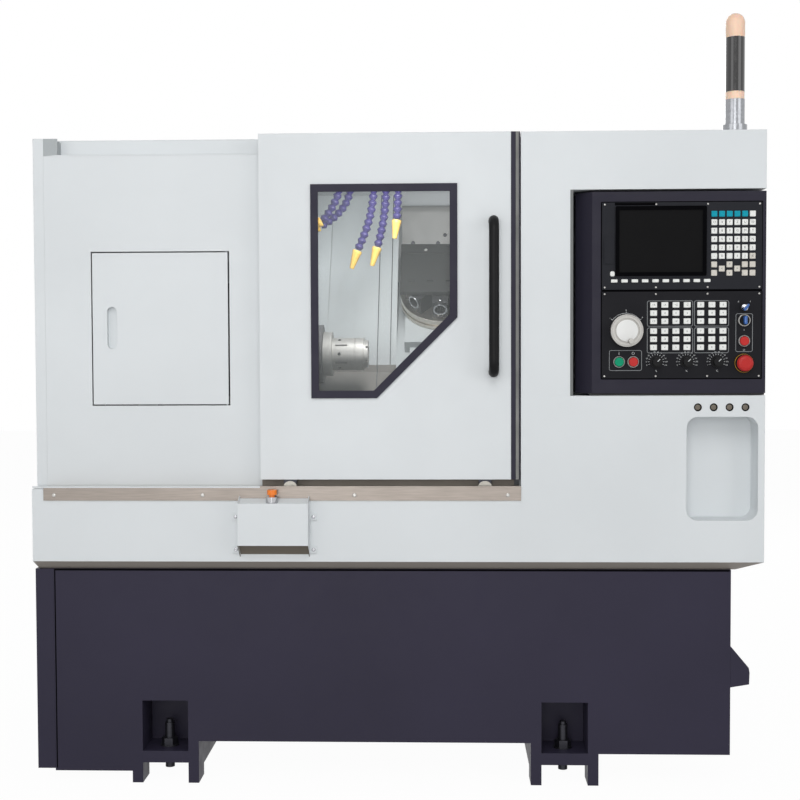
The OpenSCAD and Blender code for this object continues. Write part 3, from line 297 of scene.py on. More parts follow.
@dataclass(frozen=True)
class Paint(Finish):
    """Stoved machine paint: fine orange peel, faint clouds, and painted shade towards a lower height where
    one is set.

    Attributes:
        peel: Repeats of the orange peel per metre.
        peel_strength: Strength of the orange peel.
        peel_depth: Height of the orange peel in metres.
        cloud: Darkest shade of the faint clouds.
        fade: Share of the colour left by the painted shade at the lower of the two heights, 1 for none.
        painted_shade_z: The two heights in metres between which the painted shade darkens the paint.
    """

    peel: float = 520.0
    peel_strength: float = 0.10
    peel_depth: float = 0.0006
    cloud: float = 0.94
    fade: float = 1.0
    painted_shade_z: Pair = (1.08, 1.36)

    def dress(self, graph: Graph) -> None:
        """Clouds and any painted shade in the colour, patches in the gloss and peel in the bump.

        Args:
            graph: The material's nodes.
        """
        clouds = graph.spread(graph.noise(2.2, 4.0), 0.0, 1.0)
        mix = graph.tint(self.shade(self.cloud), self.color, clouds)
        # Painted shade: the colour darkens towards the lower height.
        if self.fade < 1.0:
            graph.fade(mix, self.fade, self.painted_shade_z)
        patches = graph.spread(graph.noise(26.0, 3.0), self.rough - 0.05, self.rough + 0.07)
        graph.link(patches, 0, graph.shader, "Roughness")
        graph.relief(graph.noise(self.peel, 2.0), self.peel_strength, self.peel_depth, self.edge)


@dataclass(frozen=True)
class Metal(Finish):
    """Brushed, ground or plated metal.

    Attributes:
        stretch: Factor on each coordinate, low along the brushing.
        grain: Repeats of the grain per metre.
        grain_strength: Strength of the grain's bump.
        grain_depth: Height of the grain in metres.
        cloud: Darkest shade of the grain in the colour.
        metallic: Share of the metal look, below 1 for a dull satin.
    """

    stretch: Point = (1.0, 1.0, 1.0)
    grain: float = 300.0
    grain_strength: float = 0.06
    grain_depth: float = 0.0004
    cloud: float = 0.82
    metallic: float = 1.0

    def dress(self, graph: Graph) -> None:
        """Grain in the colour, the gloss and the bump.

        Args:
            graph: The material's nodes.
        """
        graph.shader.inputs["Metallic"].default_value = self.metallic
        grain = graph.noise(self.grain, 4.0, self.stretch)
        graph.tint(self.shade(self.cloud), self.color, graph.spread(grain, 0.0, 1.0))
        wear = graph.spread(graph.noise(9.0, 3.0), self.rough - 0.06, self.rough + 0.08)
        graph.link(wear, 0, graph.shader, "Roughness")
        graph.relief(grain, self.grain_strength, self.grain_depth, self.edge)


@dataclass(frozen=True)
class Plastic(Finish):
    """Moulded plastic or rubber with a fine spark-eroded grain.

    Attributes:
        grain: Repeats of the grain per metre.
        grain_strength: Strength of the grain's bump.
        grain_depth: Height of the grain in metres.
        cloud: Darkest shade of the faint clouds.
        coat: Weight of a clear coat.
        subsurface: Weight of the light that enters the plastic.
    """

    grain: float = 900.0
    grain_strength: float = 0.08
    grain_depth: float = 0.0004
    cloud: float = 0.9
    coat: float = 0.0
    subsurface: float = 0.0

    def dress(self, graph: Graph) -> None:
        """Faint clouds in the colour, grain in the gloss and the bump.

        Args:
            graph: The material's nodes.
        """
        graph.shader.inputs["Coat Weight"].default_value = self.coat
        graph.shader.inputs["Subsurface Weight"].default_value = self.subsurface
        graph.shader.inputs["Subsurface Scale"].default_value = 0.01
        clouds = graph.spread(graph.noise(14.0, 3.0), 0.0, 1.0)
        graph.tint(self.shade(self.cloud), self.color, clouds)
        gloss = graph.spread(graph.noise(60.0, 2.0), self.rough - 0.04, self.rough + 0.06)
        graph.link(gloss, 0, graph.shader, "Roughness")
        graph.relief(graph.noise(self.grain, 2.0), self.grain_strength, self.grain_depth, self.edge)


@dataclass(frozen=True)
class Iron(Finish):
    """Machined or painted cast iron with a coarse skin.

    Attributes:
        metallic: Share of the metal look.
        skin_strength: Strength of the skin's bump.
        skin_depth: Height of the skin in metres.
    """

    metallic: float = 0.0
    skin_strength: float = 0.12
    skin_depth: float = 0.0006

    def dress(self, graph: Graph) -> None:
        """Sand-cast mottling in the colour, the gloss and the bump.

        Args:
            graph: The material's nodes.
        """
        graph.shader.inputs["Metallic"].default_value = self.metallic
        skin = graph.noise(140.0, 5.0)
        graph.tint(self.shade(0.78), self.shade(1.12), graph.spread(skin, 0.0, 1.0))
        gloss = graph.spread(graph.noise(18.0, 3.0), self.rough - 0.08, self.rough + 0.1)
        graph.link(gloss, 0, graph.shader, "Roughness")
        graph.relief(skin, self.skin_strength, self.skin_depth, self.edge)


@dataclass(frozen=True)
class Pane(Finish):
    """Clear pane that lets most of the light through.

    Attributes:
        opacity: Share of the light that the pane holds back.
    """

    opacity: float = 0.1

    def dress(self, graph: Graph) -> None:
        """A thin grey veil with faint smears in its gloss.

        Args:
            graph: The material's nodes.
        """
        graph.shader.inputs["Alpha"].default_value = self.opacity
        smears = graph.noise(7.0, 3.0, (1.0, 1.0, 0.4))
        graph.tint(self.shade(0.9), self.color, graph.spread(smears, 0.0, 1.0))
        gloss = graph.spread(smears, self.rough, self.rough + 0.06)
        graph.link(gloss, 0, graph.shader, "Roughness")


ENCLOSURE = Paint("enclosure_paint", srgb(218, 222, 224), 0.42, 0.0016)
LINING = Paint("lining_paint", srgb(198, 203, 205), 0.46, 0.0012)
# Brownish grey on the apron's underside: painted shade.
SKIRT_SHADE = Paint("painted_shade_underside", srgb(150, 143, 136), 0.5, 0.0012)
BASE = Paint("casting_paint", srgb(46, 43, 60), 0.45, 0.0025, 0.2, peel=260.0, peel_strength=0.16, cloud=0.8)
TRIM = Paint("trim_paint", srgb(46, 44, 57), 0.45, 0.0010, 0.15, peel=700.0)
CABINET = Paint("panel_box_paint", srgb(34, 32, 45), 0.5, 0.0016, 0.2, peel=420.0, peel_strength=0.22)
UNIT = Paint("control_unit", srgb(35, 36, 41), 0.52, 0.0006, 0.1, peel=900.0, cloud=0.9)
PLATE = Paint("control_plate", srgb(25, 25, 29), 0.52, 0.0006, 0.1, peel=900.0, cloud=0.9)
STAINLESS = Metal("brushed_stainless", srgb(146, 138, 131), 0.38, 0.0008, stretch=(0.05, 1.0, 1.0))
BLACKENED = Metal("blackened_steel", srgb(58, 58, 64), 0.4, 0.0008, grain=160.0, metallic=0.8)
STEEL = Metal("ground_steel", srgb(150, 147, 140), 0.34, 0.0008, grain=180.0)
TURNED = Metal(
    "turned_steel", srgb(180, 179, 175), 0.46, 0.0008, stretch=(1.0, 0.08, 0.08), grain=700.0, metallic=0.45
)
RIM = Metal("turret_rim", srgb(206, 200, 190), 0.32, 0.0008, grain=90.0)
CHROME = Metal(
    "bright_plating", srgb(186, 187, 190), 0.12, 0.0004, grain=60.0, grain_strength=0.01, cloud=0.95
)
POST = Metal(
    "tower_metal", srgb(160, 162, 166), 0.24, 0.0008, grain=120.0, grain_strength=0.02, metallic=0.85
)
ALUMINIUM = Metal(
    "spun_aluminium", srgb(170, 168, 164), 0.34, 0.0006,
    grain=420.0, grain_strength=0.04, cloud=0.9, metallic=0.7,
)
RING = Metal("satin_ring", srgb(206, 204, 200), 0.26, 0.0004, grain=90.0, grain_strength=0.02, metallic=0.5)
# The way cover's paint darkens to half from 1.36 m down to 1.08 m: painted shade.
COVER = Paint("cover_sheet", srgb(222, 228, 229), 0.46, 0.0006, 0.3, peel=700.0, cloud=0.96, fade=0.5)
SHADE = Paint("shaded_sheet", srgb(116, 108, 97), 0.55, 0.0012, 0.2)
# Darker grey for the way cover's leaves below the fold: painted shade.
COVER_FOLD_SHADE = Paint("painted_shade_cover_fold", srgb(124, 121, 116), 0.44, 0.0006, peel=500.0, cloud=0.8)
BED = Iron("bed_iron", srgb(92, 92, 94), 0.5, 0.002)
# Dark iron of the cross slide, also put on the collet's slots and holes as painted shade.
SLIDE_AND_RECESS_SHADE = Iron("slide_iron_and_recess_shade", srgb(52, 52, 51), 0.42, 0.0012, metallic=0.3)
HOLDER = Iron("holder_iron", srgb(72, 72, 74), 0.34, 0.0010, metallic=0.7)
SADDLE = Paint("saddle_paint", srgb(172, 177, 178), 0.46, 0.0006, 0.3, peel=700.0, cloud=0.96)
HOUSING = Paint("housing_paint", srgb(145, 145, 142), 0.44, 0.0020)
MOTOR = Paint("motor_paint", srgb(52, 53, 56), 0.5, 0.0016)
HOSE = Plastic("hose_links", srgb(46, 39, 88), 0.3, 0.0, 0.45)
NOZZLE = Plastic("nozzle_plastic", srgb(204, 170, 84), 0.38, 0.0004, subsurface=0.1)
BLACK = Plastic("black_plastic", srgb(15, 15, 17), 0.42, 0.0006, 0.15)
# Dark grey for lines along the way cover leaves' edges: painted shadow.
LEAF_EDGE_SHADOW = Plastic("painted_shadow_leaf_edge", srgb(92, 95, 96), 0.6, 0.0, 0.2)
# Near-black for the base's joint, and painted shadow: a line along the base, rings in the holes and frames
# round the plates.
JOINT_AND_SHADOW = Plastic("dark_joint_and_painted_shadow", srgb(6, 6, 8), 0.8, 0.0, 0.02)
BRACKET = Paint("bracket_paint", srgb(172, 177, 179), 0.45, 0.0008, 0.3)
SEAM = Plastic("pale_lip", srgb(184, 188, 188), 0.6, 0.0, 0.2)
# Grey strip beside the door: painted shade of the set-back flange of the right cover.
DOOR_EDGE_SHADE = Plastic("painted_shade_door_edge", srgb(140, 140, 137), 0.8, 0.0, 0.1, grain=1400.0, grain_strength=0.4, cloud=0.7)
# Grey for a strip on the niche's left edge: painted shade where the rounded edge turns from the light.
NICHE_EDGE_SHADE = Plastic("painted_shade_niche_edge", srgb(118, 120, 120), 0.55, 0.0, 0.2)
GLOSSY_BLACK = Plastic("glossy_sleeve", srgb(20, 19, 20), 0.12, 0.0004, grain_strength=0.01, coat=0.6)
RUBBER = Plastic("black_rubber", srgb(26, 26, 27), 0.7, 0.0006, grain=500.0, grain_strength=0.2)
SCREEN = Plastic("screen_pane", srgb(15, 15, 16), 0.4, 0.0, 0.05, grain_strength=0.01)
BORDER = Plastic("screen_border", srgb(5, 5, 7), 0.6, 0.0, 0.02, grain_strength=0.02)
RED = Plastic("red_plastic", srgb(190, 46, 44), 0.36, 0.0006, 0.2, grain_strength=0.03)
GREEN = Plastic("green_plastic", srgb(4, 146, 106), 0.36, 0.0006, 0.15, grain_strength=0.03)
BLUE = Plastic("blue_plastic", srgb(34, 92, 168), 0.3, 0.0006, grain_strength=0.03, coat=0.2)
YELLOW = Plastic("yellow_plastic", srgb(236, 176, 40), 0.36, 0.0006, grain_strength=0.03)
ORANGE = Plastic("orange_plastic", srgb(246, 130, 30), 0.3, 0.0006, grain_strength=0.03, subsurface=0.1)
LAMP = Plastic("frosted_lens", srgb(248, 212, 186), 0.4, 0.0006, grain_strength=0.03, subsurface=0.3)
# Grey-brown for the gap under the door: painted shade of the machine's inside.
DOOR_GAP_SHADE = Plastic("painted_shade_door_gap", srgb(128, 121, 112), 0.7, 0.0004, grain=400.0, grain_strength=0.15)
WHITE_KEY = Plastic("white_keys", srgb(232, 233, 230), 0.4, grain_strength=0.04, cloud=0.96)
TEAL_KEY = Plastic("teal_keys", srgb(12, 154, 176), 0.42, 0.0, 0.15, grain_strength=0.04)
GREY_KEY = Plastic("grey_keys", srgb(208, 203, 194), 0.42, grain_strength=0.04, cloud=0.95)
WHITE_DISC = Plastic("white_disc", srgb(226, 226, 224), 0.36, grain_strength=0.03, cloud=0.96)
PRINT = Plastic("white_print", srgb(196, 198, 199), 0.5, grain_strength=0.02, cloud=0.94)
FRAME_PRINT = Plastic("grey_print", srgb(140, 143, 145), 0.5, 0.0, 0.2, grain_strength=0.02)
DARK_PRINT = Plastic("dark_print", srgb(92, 92, 94), 0.5, grain_strength=0.02)
GLASS = Pane("window_pane", srgb(206, 212, 212), 0.05, 0.0, 0.1, opacity=0.08)

NODE_FINISHES: dict[Finish, tuple[str, ...]] = {
    ENCLOSURE: (
        "front_cover", "cover_trays", "left_panel", "top_track", "side_panels", "roof_panel",
        "electrical_cabinet", "door_panel", "access_door", "switch_box",
    ),
    LINING: ("chamber_lining",),
    SKIRT_SHADE: ("under_skirt",),
    BASE: ("base_casting", "base_end_cover", "drain_spout"),
    TRIM: ("window_frame", "door_edge_trim"),
    CABINET: ("panel_box",),
    UNIT: ("cnc_bezel",),
    PLATE: ("machine_plate",),
    STAINLESS: ("door_rail",),
    BLACKENED: ("levelling_screws", "roller_left", "roller_right"),
    STEEL: ("ball_screw", "motor_pulley"),
    TURNED: ("spindle", "collet_chuck"),
    RIM: ("turret_disc",),
    CHROME: ("key_switch",),
    POST: ("tower_base",),
    ALUMINIUM: ("handwheel",),
    COVER: ("way_cover_fixed", "way_cover_middle", "way_cover_end"),
    SADDLE: ("saddle",),
    BED: ("bed_casting", "headstock"),
    SLIDE_AND_RECESS_SHADE: ("cross_slide",),
    HOLDER: ("tool_holders",),
    HOUSING: ("motor_housing",),
    MOTOR: ("spindle_motor",),
    HOSE: ("coolant_hoses",),
    NOZZLE: ("coolant_nozzles",),
    BLACK: ("door_handle", "feed_knob", "rapid_knob", "spindle_knob", "mode_selector"),
    GLOSSY_BLACK: ("tower_sleeve",),
    RUBBER: ("drive_belt",),
    SCREEN: ("cnc_screen",),
    RED: ("estop_button", "stop_button", "reset_button"),
    GREEN: ("start_button",),
    ORANGE: ("box_button",),
    LAMP: ("tower_lamp",),
    WHITE_KEY: ("panel_keys",),
    GLASS: ("window_glass",),
}


# Surfaces


def grid_quads(rows: int, columns: int, wrap_rows: bool = False, wrap_columns: bool = True) -> Faces:
    """Quads of a grid: sample (i, j) with (i+1, j), (i+1, j+1) and (i, j+1).

    Args:
        rows: Samples of the first parameter.
        columns: Samples of the second parameter.
        wrap_rows: Whether the last row joins the first.
        wrap_columns: Whether the last column joins the first.

    Returns:
        One row of four indices per quad.
    """
    i, j = np.meshgrid(
        np.arange(rows if wrap_rows else rows - 1),
        np.arange(columns if wrap_columns else columns - 1),
        indexing="ij",
    )
    next_i, next_j = (i + 1) % rows, (j + 1) % columns
    corners = (i * columns + j, next_i * columns + j, next_i * columns + next_j, i * columns + next_j)
    return np.stack(corners, axis=-1).reshape(-1, 4)


@dataclass
class Surface:
    """Points in millimetres and the faces between them.

    Attributes:
        points: Places of shape (count, 3).
        quads: Corners of each face, four to a row, or three in a print.
    """

    points: Array
    quads: Faces

    @classmethod
    def from_grid(cls, grid: Array, wrap_rows: bool = False, wrap_columns: bool = True) -> Surface:
        """A surface from samples of shape (rows, columns, 3)."""
        rows, columns = grid.shape[:2]
        return cls(grid.reshape(-1, 3), grid_quads(rows, columns, wrap_rows, wrap_columns))

    @classmethod
    def copies(cls, grid: Array, places: Array, wrap_rows: bool = False) -> Surface:
        """One grid repeated at several places.

        Args:
            grid: Samples of shape (rows, columns, 3).
            places: Offsets of shape (count, 3).
            wrap_rows: Whether the last row joins the first.

        Returns:
            The joined surface.
        """
        rows, columns = grid.shape[:2]
        quads = grid_quads(rows, columns, wrap_rows)
        points = (places[:, None, :] + grid.reshape(1, -1, 3)).reshape(-1, 3)
        shifts = np.arange(len(places)) * rows * columns
        return cls(points, (shifts[:, None, None] + quads[None]).reshape(-1, 4))

    @classmethod
    def join(cls, parts: list[Surface]) -> Surface:
        """Several surfaces as one.

        Args:
            parts: The surfaces, with as many corners to a face in all of them.

        Returns:
            The joined surface.
        """
        starts = np.cumsum([0] + [len(p.points) for p in parts[:-1]])
        return cls(
            np.concatenate([p.points for p in parts]),
            np.concatenate([p.quads + s for p, s in zip(parts, starts)]),
        )


def basis(axis: Axis) -> tuple[Array, Array, Array]:
    """Two unit vectors across an axis, from cross products with a helper, and the axis itself.

    Args:
        axis: The axis.

    Returns:
        The first and second vector across, and the unit vector along it.
    """
    along = np.array(axis.value, float)
    along /= np.linalg.norm(along)
    helper = np.array([0.0, 0.0, 1.0]) if abs(along[2]) < 0.9 else np.array([1.0, 0.0, 0.0])
    first = np.cross(helper, along)
    first /= np.linalg.norm(first)
    return first, np.cross(along, first), along


def turned(profile: list[Pair], axis: Axis, segments: int = 32) -> Array:
    """Surface of revolution: radius times (cos t, sin t) across, height along the axis.

    Args:
        profile: Pairs of radius and height.
        axis: Direction of the heights.
        segments: Samples of the angle t.

    Returns:
        Grid of shape (len(profile), segments, 3), centred on the origin.
    """
    radius, height = np.array(profile, float).T
    angle = np.linspace(0.0, 2.0 * math.pi, segments, endpoint=False)
    first, second, along = basis(axis)
    ring = np.cos(angle)[:, None] * first + np.sin(angle)[:, None] * second
    return radius[:, None, None] * ring[None] + height[:, None, None] * along


def rounded_outline(half_w: float, half_h: float, radius: float, per_corner: int = 6) -> Array:
    """Rounded rectangle: a quarter circle of the radius at each corner's centre.

    Args:
        half_w: Half of the width.
        half_h: Half of the height.
        radius: Radius of the corners.
        per_corner: Samples on each quarter circle.

    Returns:
        Points of shape (4 * per_corner, 2), anticlockwise.
    """
    quarter = np.linspace(0.0, math.pi / 2.0, per_corner)
    angle = (np.arange(4)[:, None] * math.pi / 2.0 + quarter[None]).reshape(-1)
    signs = np.array([[1, 1], [-1, 1], [-1, -1], [1, -1]], float).repeat(per_corner, axis=0)
    core = signs * np.array([half_w - radius, half_h - radius])
    return core + radius * np.stack([np.cos(angle), np.sin(angle)], axis=-1)


def pillow(width: float, height: float, radius: float, steps: list[Pair]) -> Array:
    """Rounded slab facing the operator: outlines inset step by step, then closed at the middle.

    Args:
        width: Width along X.
        height: Height along Z.
        radius: Radius of the corners.
        steps: Pairs of inset and distance in front of the seat.

    Returns:
        Grid of shape (len(steps) + 2, samples, 3), with its seat at y = 0.
    """
    rings = []
    for inset, front in steps:
        flat = rounded_outline(width / 2 - inset, height / 2 - inset, max(radius - inset, 0.2))
        rings.append(np.stack([flat[:, 0], np.full(len(flat), -front), flat[:, 1]], axis=-1))
    back = np.zeros_like(rings[0])
    back[:, 1] = -steps[0][1]
    top = np.zeros_like(rings[0])
    top[:, 1] = -steps[-1][1]
    return np.stack([back, *rings, top])


def outline_strip(width: float, height: float, radius: float, line: float, rise: float) -> Array:
    """Raised line along a rounded rectangle: its section runs from the outer foot over the top to the inner.

    Args:
        width: Width of the line's outer edge.
        height: Height of the line's outer edge.
        radius: Outer corner radius.
        line: Width of the line.
        rise: Height of the line over its seat.

    Returns:
        Grid of shape (4, samples, 3), to be wrapped both ways.
    """
    section = [(0.0, 0.0), (0.0, rise), (line, rise), (line, 0.0)]
    rings = []
    for inset, front in section:
        flat = rounded_outline(width / 2 - inset, height / 2 - inset, max(radius - inset, 0.2))
        rings.append(np.stack([flat[:, 0], np.full(len(flat), -front), flat[:, 1]], axis=-1))
    return np.stack(rings)


def radial_ticks(angles: Array, inner: float, outer: float, width: float, rise: float) -> Surface:
    """Printed ticks: each is a thin block along a radius, turned by its angle from straight up.

    Args:
        angles: Angles in degrees, clockwise from straight up.
        inner: Radius of the inner ends.
        outer: Radius of the outer ends.
        width: Width of a tick.
        rise: Height of a tick over its seat.

    Returns:
        The joined ticks, centred on the origin and facing the operator.
    """
    w = width / 2.0
    across = np.array([-w, w, w, -w])
    along = np.array([inner, inner, outer, outer])
    turn = np.radians(angles)[:, None]
    x = across * np.cos(turn) + along * np.sin(turn)
    z = along * np.cos(turn) - across * np.sin(turn)
    middle = 0.5 * (inner + outer)
    layers = []
    for front, shrink in ((0.0, 0.0), (0.0, 1.0), (rise, 1.0), (rise, 0.0)):
        cx, cz = middle * np.sin(turn), middle * np.cos(turn)
        corners = [cx + (x - cx) * shrink, np.full_like(x, -front), cz + (z - cz) * shrink]
        layers.append(np.stack(corners, axis=-1))
    grid = np.stack(layers, axis=1)
    return Surface.join([Surface.from_grid(one) for one in grid])


def moved(surface: Surface, place: Point) -> Surface:
    """The surface shifted to a place."""
    return Surface(surface.points + np.array(place, float), surface.quads)


def block(low: Point, high: Point) -> Surface:
    """Box: each of its eight corners takes every coordinate from one of two opposite corners.

    Args:
        low: The corner with the least coordinates.
        high: The corner with the greatest coordinates.

    Returns:
        The box with its six faces.
    """
    pick = np.array([[i, j, k] for i in (0, 1) for j in (0, 1) for k in (0, 1)])
    points = np.array([low, high], float)[pick, np.arange(3)]
    quads = np.array([(0, 1, 3, 2), (4, 6, 7, 5), (0, 4, 5, 1), (2, 3, 7, 6), (0, 2, 6, 4), (1, 5, 7, 3)])
    return Surface(points, quads)


def as_triangles(surface: Surface) -> Surface:
    """The surface with each quad as its two triangles."""
    quads = surface.quads
    return Surface(surface.points, np.concatenate([quads[:, [0, 1, 2]], quads[:, [0, 2, 3]]]))


def tube(path: Array, across: Point, radius: Array, segments: int = 28) -> Surface:
    """Round tube along a flat path: radius times (cos t beside the path, sin t across its plane).

    Args:
        path: Points of shape (count, 3).
        across: Unit vector across the plane of the path.
        radius: Radius at each point, 0 at the closed ends.
        segments: Samples of the angle t.

    Returns:
        The tube.
    """
    tangent = np.gradient(path, axis=0)
    tangent /= np.linalg.norm(tangent, axis=1)[:, None]
    side = np.cross(tangent, np.array(across))
    angle = np.linspace(0.0, 2.0 * math.pi, segments, endpoint=False)[None, :, None]
    ring = np.cos(angle) * side[:, None] + np.sin(angle) * np.array(across)
    return Surface.from_grid(path[:, None] + radius[:, None, None] * ring)


@dataclass
class Dresser:
    """Puts surfaces into the scene as pieces that ride on a body.

    Attributes:
        made: Names of the pieces so far.
    """

    made: list[str] = field(default_factory=list)

    def put(
        self, name: str, surface: Surface, finish: Finish, body: str, smooth: float = 35.0
    ) -> bpy.types.Object:
        """Makes one piece from a surface.

        Args:
            name: Name of the piece.
            surface: Its points and quads in millimetres.
            finish: Its finish.
            body: The body on which it rides.
            smooth: Edges under this angle in degrees are shaded smooth.

        Returns:
            The new object.
        """
        mesh = bpy.data.meshes.new(name)
        mesh.from_pydata((surface.points * MM).tolist(), [], surface.quads.tolist())
        return self.finish_mesh(name, mesh, finish, body, smooth)

    def finish_mesh(
        self, name: str, mesh: bpy.types.Mesh, finish: Finish, body: str, smooth: float
    ) -> bpy.types.Object:
        """Closes poles, turns faces outwards and dresses a mesh.

        Args:
            name: Name of the piece.
            mesh: Its mesh in metres.
            finish: Its finish.
            body: The body on which it rides.
            smooth: Edges under this angle in degrees are shaded smooth.

        Returns:
            The new object.
        """
        work = bmesh.new()
        work.from_mesh(mesh)
        bmesh.ops.remove_doubles(work, verts=work.verts, dist=1e-6)
        bmesh.ops.dissolve_degenerate(work, edges=work.edges, dist=1e-7)
        bmesh.ops.recalc_face_normals(work, faces=work.faces)
        work.to_mesh(mesh)
        work.free()
        mesh.shade_smooth()
        mesh.set_sharp_from_angle(angle=math.radians(smooth))
        mesh.materials.append(finish.material())
        piece = bpy.data.objects.new(name, mesh)
        bpy.context.scene.collection.objects.link(piece)
        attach(piece, body)
        self.made.append(name)
        LOG.info("piece %s rides on %s", name, body)
        return piece


@dataclass(frozen=True)
class Mark:
    """One printed word or sign.

    Attributes:
        text: Its characters.
        x: Middle along X.
        z: Middle along Z.
        size: Height of a capital, about.
    """

    text: str
    x: float
    z: float
    size: float


def printed(marks: list[Mark], y: float, rise: float) -> Surface:
    """Printed signs as thin solids on one upright plane.

    Each sign is set as text, made a mesh, centred on its place and turned so
    that its x runs along X and its y along Z.

    Args:
        marks: The signs.
        y: The plane on which they lie.
        rise: Height of the print over the plane.

    Returns:
        The joined signs, as triangles.
    """
    parts: list[Surface] = []
    for mark in marks:
        curve = bpy.data.curves.new("sign", "FONT")
        curve.body = mark.text
        curve.size = mark.size * FONT_SIZE
        curve.align_x = "CENTER"
        curve.align_y = "CENTER"
        curve.extrude = rise / 2.0
        curve.resolution_u = 2
        holder = bpy.data.objects.new("sign", curve)
        mesh = bpy.data.meshes.new_from_object(holder)
        count = len(mesh.vertices)
        flat = np.zeros(count * 3)
        mesh.vertices.foreach_get("co", flat)
        flat = flat.reshape(-1, 3)
        mesh.calc_loop_triangles()
        corners = np.zeros(len(mesh.loop_triangles) * 3, np.int32)
        mesh.loop_triangles.foreach_get("vertices", corners)
        triangles = corners.reshape(-1, 3).astype(np.int64)
        place = np.stack(
            [flat[:, 0] + mark.x, y - rise / 2.0 - flat[:, 2], flat[:, 1] + mark.z], axis=-1
        )
        parts.append(Surface(place, triangles))
        bpy.data.objects.remove(holder)
        bpy.data.curves.remove(curve)
        bpy.data.meshes.remove(mesh)
    return Surface.join(parts)


# Sub-assemblies


@dataclass
class CadNodes:
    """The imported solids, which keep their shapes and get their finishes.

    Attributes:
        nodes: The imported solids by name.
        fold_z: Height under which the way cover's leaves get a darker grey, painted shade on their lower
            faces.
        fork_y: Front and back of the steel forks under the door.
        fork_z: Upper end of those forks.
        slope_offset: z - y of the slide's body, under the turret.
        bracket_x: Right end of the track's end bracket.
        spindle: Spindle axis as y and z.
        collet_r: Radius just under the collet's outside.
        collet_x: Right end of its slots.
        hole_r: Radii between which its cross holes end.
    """

    nodes: dict[str, bpy.types.Object]
    fold_z: float = 1060.0
    fork_y: Pair = (-630.4, -604.0)
    fork_z: float = 805.0
    slope_offset: float = 1210.0
    bracket_x: float = -820.0
    spindle: Pair = (-200.0, 1095.0)
    collet_r: float = 44.3
    collet_x: float = -147.0
    hole_r: Pair = (30.0, 38.0)

    def dress(self) -> None:
        """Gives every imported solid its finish."""
        for finish, names in NODE_FINISHES.items():
            for name in names:
                mesh = self.nodes[name].data
                mesh.materials.clear()
                mesh.materials.append(finish.material())
                LOG.info("solid %s gets %s", name, finish.name)
        # Leaves below the fold get a darker grey: painted shade on their lower faces.
        for name in ("way_cover_fixed", "way_cover_middle", "way_cover_end"):
            self.dress_faces(name, COVER_FOLD_SHADE, lambda middle, normal: middle[:, 2] < self.fold_z)
        self.dress_faces("switch_box", SHADE, lambda middle, normal: normal[:, 2] < -0.3)
        self.dress_faces("door_panel", BLACKENED, self.on_fork)
        self.dress_faces("cross_slide", SADDLE, self.under_turret)
        # The collet's slots and cross holes are painted dark: painted shade in these recesses.
        self.dress_faces("collet_chuck", SLIDE_AND_RECESS_SHADE, self.collet_recess_shade)
        self.dress_faces("top_track", BRACKET, lambda middle, normal: middle[:, 0] < self.bracket_x)

    def on_fork(self, middle: Array, normal: Array) -> Array:
        """Faces of the steel forks that hold the rollers, just behind the door's sheet.

        Args:
            middle: Middles of the faces in millimetres.
            normal: Normals of the faces.

        Returns:
            True for each face that is picked.
        """
        low, high = self.fork_y
        return (middle[:, 1] > low) & (middle[:, 1] < high) & (middle[:, 2] < self.fork_z)

    def collet_recess_shade(self, middle: Array, normal: Array) -> Array:
        """Walls of the collet's slots, across the spindle's radius, and all of its cross holes: these get a
        dark colour as painted shade.

        Args:
            middle: Middles of the faces in millimetres.
            normal: Normals of the faces.

        Returns:
            True for each face that is picked.
        """
        inner, floor = self.hole_r
        radial = middle[:, 1:] - np.array(self.spindle)
        radius = np.linalg.norm(radial, axis=1)
        across = np.abs((radial * normal[:, 1:]).sum(axis=1)) < 0.5 * radius
        cut = (radius < floor) | across & (radius < self.collet_r)
        return cut & (radius > inner) & (middle[:, 0] < self.collet_x)

    def under_turret(self, middle: Array, normal: Array) -> Array:
        """Faces of the slide below the turret, where z - y lies under that of the slope."""
        return middle[:, 2] - middle[:, 1] < self.slope_offset

    def dress_faces(self, name: str, finish: Finish, test: Callable[[Array, Array], Array]) -> None:
        """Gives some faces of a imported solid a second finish.

        Args:
            name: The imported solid.
            finish: The second finish.
            test: Takes the faces' middles in millimetres and their normals, and picks faces.
        """
        mesh = self.nodes[name].data
        mesh.materials.append(finish.material())
        count = len(mesh.polygons)
        middle, normal = np.zeros(count * 3), np.zeros(count * 3)
        mesh.polygons.foreach_get("center", middle)
        mesh.polygons.foreach_get("normal", normal)
        picked = test(middle.reshape(-1, 3) / MM, normal.reshape(-1, 3))
        mesh.polygons.foreach_set("material_index", picked.astype(np.int32))


